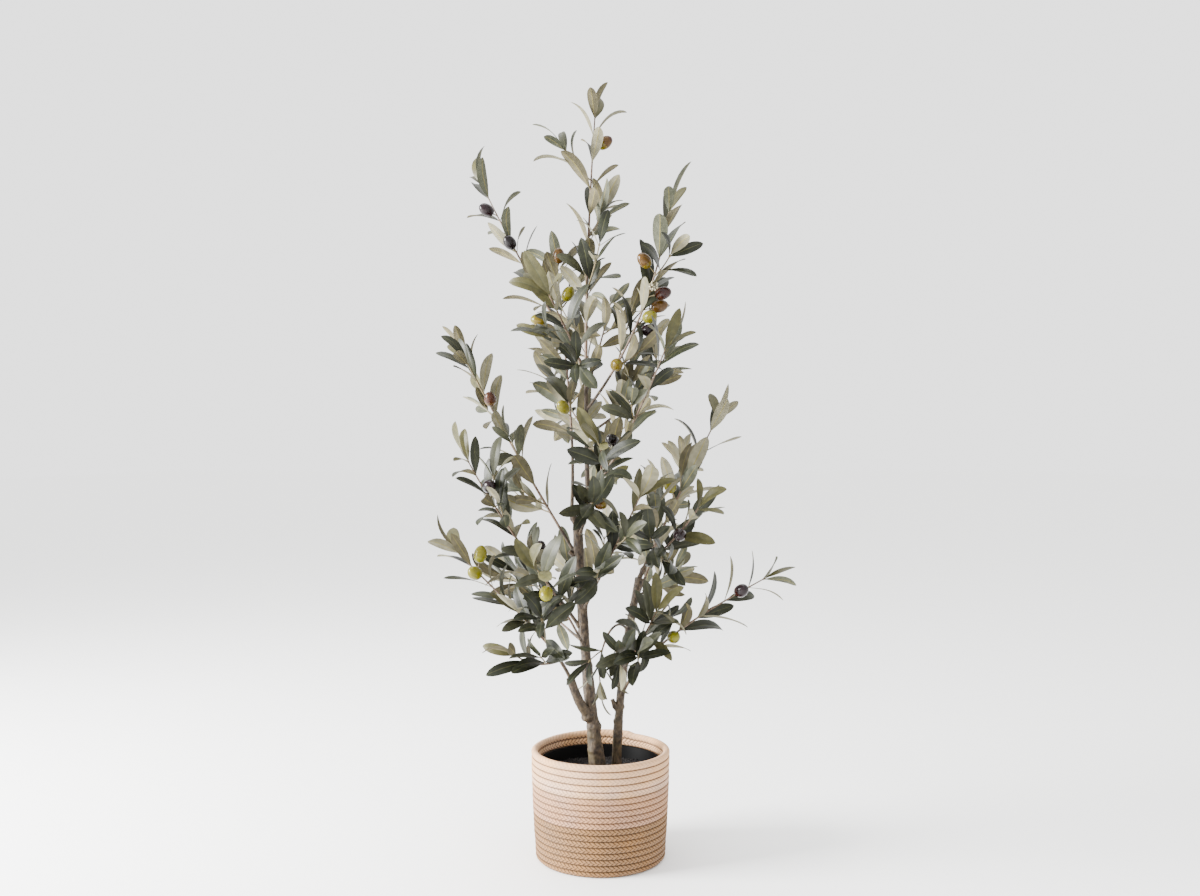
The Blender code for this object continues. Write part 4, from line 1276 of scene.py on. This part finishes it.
twig_pieces = Gather()
for mass in masses.values():
    start = mass.limb.bare / 1000 - 0.001
    count = round((mass.end - start) / 0.006)
    twig_pieces.add(*tube(route_part(mass.route, start, mass.end, count),
                          taper(mass.limb.tip, TWIG_TIP * 1000, count), 8), BROWN)
    for points in mass.twigs:
        twig_pieces.add(*tube(rounded(points, 10),
                              taper(TWIG_BASE * 900, TWIG_TIP * 900, 10), 6), GREEN)
    for leaf in mass.leaves:
        twig_pieces.add(aligned(LUMP * BEAD, leaf.along)
                        + np.array(leaf.root + leaf.along * 0.0008), LUMP_FACES, GREEN)
    for fruit in mass.fruits:
        reach = fruit.along * fruit.stalk
        sag = reach * 0.5 + Vector((0, 0, 0.0006))
        stalk = rounded([fruit.root, fruit.root + sag, fruit.root + reach], 6)
        twig_pieces.add(*tube(stalk, STALK_RADII, 6), GREEN)
woody = mottled("brown twig", 0.62, 5, "463629", "665242", depth=0.25, ior=1.46)
green = mottled("olive twig", 0.58, 7, "4A4229", "6F6142", depth=0.2, ior=1.46)
twig_pieces.piece("twigs", "leaves", [woody, green])

# %% [markdown]
# ## Leaves
#
# An olive leaf is long and narrow, broadest well past its middle, and hardly has a stalk.
# The upper side is a dull dark green, the under side a pale silvery green with a fine
# yellowish rib. The cloth leaf keeps all that: it is folded a little along its rib, its
# edges curl back and its tip bends away. The mesh is twelve points along the blade and
# six across it, twice, which is enough for those curves. The tints are plain colours dealt
# out by spray, with the youngest leaves at the tips yellower, as dye lots vary.

# %% Leaf mesh
BLADE = ((0.0, 0.06), (0.05, 0.10), (0.12, 0.28), (0.22, 0.56), (0.34, 0.82), (0.46, 0.96),
         (0.57, 1.0), (0.68, 0.97), (0.79, 0.86), (0.89, 0.64), (0.96, 0.34), (1.0, 0.04))
ACROSS = (-1, -0.55, -0.06, 0.06, 0.55, 1)
RIB = 2                       # the strip between the two middle points
SLIM = 0.92                   # a cloth leaf's width against its solid's
CLOTH = 0.0005                # thickness along the rib
RIB_DEPTH = 0.00035
SPRAY = 5                     # leaves that share most of their tint
TOP_SHARES, UNDER_SHARES = (0.36, 0.64), (0.40, 0.70)
YOUNG = 3                     # the youngest upper side, and how many tip leaves have it
UNDERS, TOP_RIB, UNDER_RIB = 4, 7, 8    # places of the other leaf materials
HALFWAY = 0.62                # height that parts the lower leaves from the upper


def blade(leaf, bend, sway, fold, twist):
    """Upper and under skins of a leaf, which meet along its edge. It bends back and
    sways to one side towards its tip, and twists about its rib."""
    side = leaf.face.cross(leaf.along)
    place = leaf.root.copy()
    upper, under = [], []
    last = 0.0
    for share, breadth in BLADE:
        lean = bend * (1.25 * share ** 1.6 - 0.25 * math.sin(math.pi * share))
        swing = sway * share
        ahead = (leaf.along * math.cos(lean) - leaf.face * math.sin(lean)) * math.cos(swing)
        ahead += side * math.sin(swing)
        place = place + ahead * (share - last) * leaf.length
        last = share
        up = leaf.face * math.cos(lean) + leaf.along * math.sin(lean)
        level = ahead.cross(up).normalized()
        turn = twist * share
        out = level * math.cos(turn) + up * math.sin(turn)
        up = up * math.cos(turn) - level * math.sin(turn)
        half = leaf.width / 2 * SLIM * breadth
        for spot in ACROSS:
            spread = abs(spot)
            lift = half * (fold * spread - 0.35 * fold * spread ** 2 - 0.12 * spread ** 4)
            rib = RIB_DEPTH * (1 - share) if spread < 0.1 else 0
            point = place - out * (half * spot) + up * lift
            upper.append(point - up * rib * 0.4)
            under.append(point - up * (CLOTH * (1 - spread ** 2) + rib))
    return upper, under


strip = grid_faces(len(BLADE), len(ACROSS))
on_rib = strip[:, 0] % len(ACROSS) == RIB
rng = random.Random(11)
lower_leaves, upper_leaves = Gather(), Gather()
for mass in masses.values():
    for index, leaf in enumerate(mass.leaves):
        if index % SPRAY == 0:
            spray = rng.random()
        tint = spray * 0.7 + rng.random() * 0.3
        top = np.searchsorted(TOP_SHARES, tint, side="right")
        below = UNDERS + np.searchsorted(UNDER_SHARES, tint, side="right")
        if index < YOUNG or rng.random() < 0.06:
            top = YOUNG
        bend = math.atan(2 * leaf.arch) + rng.uniform(0.0, 0.6)
        upper, under = blade(leaf, bend, rng.uniform(-0.28, 0.28), rng.uniform(0.12, 0.65),
                             rng.uniform(-0.7, 0.7))
        gather = lower_leaves if leaf.root.z < HALFWAY else upper_leaves
        gather.add(upper, strip, np.where(on_rib, TOP_RIB, top))
        gather.add(under, strip[:, [0, 3, 2, 1]], np.where(on_rib, UNDER_RIB, below))
print("faces of the lower leaves:", len(lower_leaves.faces), "upper:", len(upper_leaves.faces))

# %% Leaf materials and the pieces
# Printed cloth with a satin coat: a soft mottle of 11 mm and a fine woven grain, drawn
# coarser than it is. Name, two colours, roughness, specular.
LEAF_LOOKS = (
    ("leaf top deep", "16180F", "202316", 0.42, 0.24),
    ("leaf top dark", "1E2116", "292B1D", 0.44, 0.24),
    ("leaf top grey", "2A2B1E", "373829", 0.46, 0.24),
    ("leaf top young", "38361E", "464326", 0.46, 0.24),
    ("leaf under pale", "63604E", "726E5B", 0.62, 0.15),
    ("leaf under tan", "4D4937", "5E5844", 0.62, 0.15),
    ("leaf under grey", "444639", "555647", 0.62, 0.15),
    ("leaf rib above", "353623", "404128", 0.46, 0.24),
    ("leaf rib below", "686134", "797043", 0.58, 0.15),
)
looks = [mottled(name, roughness, 11, low, high, depth=0.12, grain=(3.5, 1.0), ior=1.45,
                 specular=specular) for name, low, high, roughness, specular in LEAF_LOOKS]
lower_leaves.piece("leaves_lower", "leaves", looks, [name + "_foliage" for name in masses])
upper_leaves.piece("leaves_upper", "leaves", looks)

# %% [markdown]
# ## Olives and buds
#
# Two dozen olives hang by short stalks, and no two are equally ripe: they run from
# yellow-green over brown to nearly black, often from one end to the other. They are
# glazed foam, so they have a clear hard shine. Each is an egg of small faces that take
# their plain colour from a scale of ripeness, a little further along at one end than at
# the other. One shoot on the right also bears a cluster of cream flower buds.

# %% Olives
RIPE = ("686614", "5E5910", "57490F", "483210", "3A1F11", "2B130F", "190C0F", "0E080A")
RINGS, SIDES = 13, 18

egg = []
for ring in range(RINGS):
    polar = math.pi * ring / (RINGS - 1)
    width = max(math.sin(polar) * (1 + 0.05 * math.cos(polar)), 0.01)
    dimple = 0.0008 * math.exp(-(polar / 0.35) ** 2)
    egg.append((width * OLIVE_WIDTH / 2, (1 - math.cos(polar)) / 2 * OLIVE_LENGTH + dimple))
egg = turned(egg, SIDES)
egg_faces = grid_faces(RINGS, SIDES, closed=True)
egg_ring = egg_faces[:, 0] // SIDES / (RINGS - 2)
olives = Gather()
for fruit in (fruit for mass in masses.values() for fruit in mass.fruits):
    here, there = fruit.ripe
    ripe = np.round((here + (there - here) * egg_ring) * (len(RIPE) - 1)).astype(int)
    olives.add(aligned(egg, fruit.along) + np.array(fruit.root + fruit.along * fruit.stalk),
               egg_faces, ripe)
glazes = []
for level, code in enumerate(RIPE, 1):
    low = bytes(max(0, part - 10) for part in bytes.fromhex(code)).hex()
    glazes.append(mottled(f"glazed olive {level}", 0.22, 3.5, low, code, specular=0.25))
olives.piece("olives", "leaves", glazes)

# %% Flower buds
BUD_SPOT = 0.52               # share of the way along the upper right limb's leafy part
BUDS = 34
BALL_RINGS, BALL_SIDES = 5, 7

polars = [math.pi * (ring + 0.02) / (BALL_RINGS - 0.96) for ring in range(BALL_RINGS)]
ball = turned([(math.sin(polar), math.cos(polar)) for polar in polars], BALL_SIDES)
ball_faces = grid_faces(BALL_RINGS, BALL_SIDES, closed=True)
spot, way = masses["upper_right"].spot(BUD_SPOT)
rng = random.Random(5)
buds = Gather()
for index in range(BUDS):
    out = Vector((rng.gauss(0, 1), rng.gauss(0, 1), rng.gauss(0.4, 1))).normalized()
    reach = rng.uniform(0.004, 0.013)
    middle = spot + Vector((0.004, -0.004, 0.010)) + out * reach
    size = rng.uniform(0.0011, 0.0017)
    bend = spot.lerp(middle, 0.6) + Vector((0, 0, 0.001))
    buds.add(*tube([spot, bend, middle], 0.0003, 3), 0)
    buds.add(ball * size + np.array(middle), ball_faces, 1)
buds.piece("flower_buds", "leaves", [green, mottled("cream bud", 0.6, 2, "C4BB98", "D9D2B9")])

# %% [markdown]
# ## Both sizes
#
# The looks must not outgrow the solids, so both boxes are written side by side.

# %% Sizes
now_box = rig.bounds()
with open("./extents.json", "w") as file:
    json.dump({"cad": [list(corner) for corner in cad_box],
               "visual": [list(corner) for corner in now_box]}, file)
print("visual box:", [round(value, 4) for corner in now_box for value in corner])
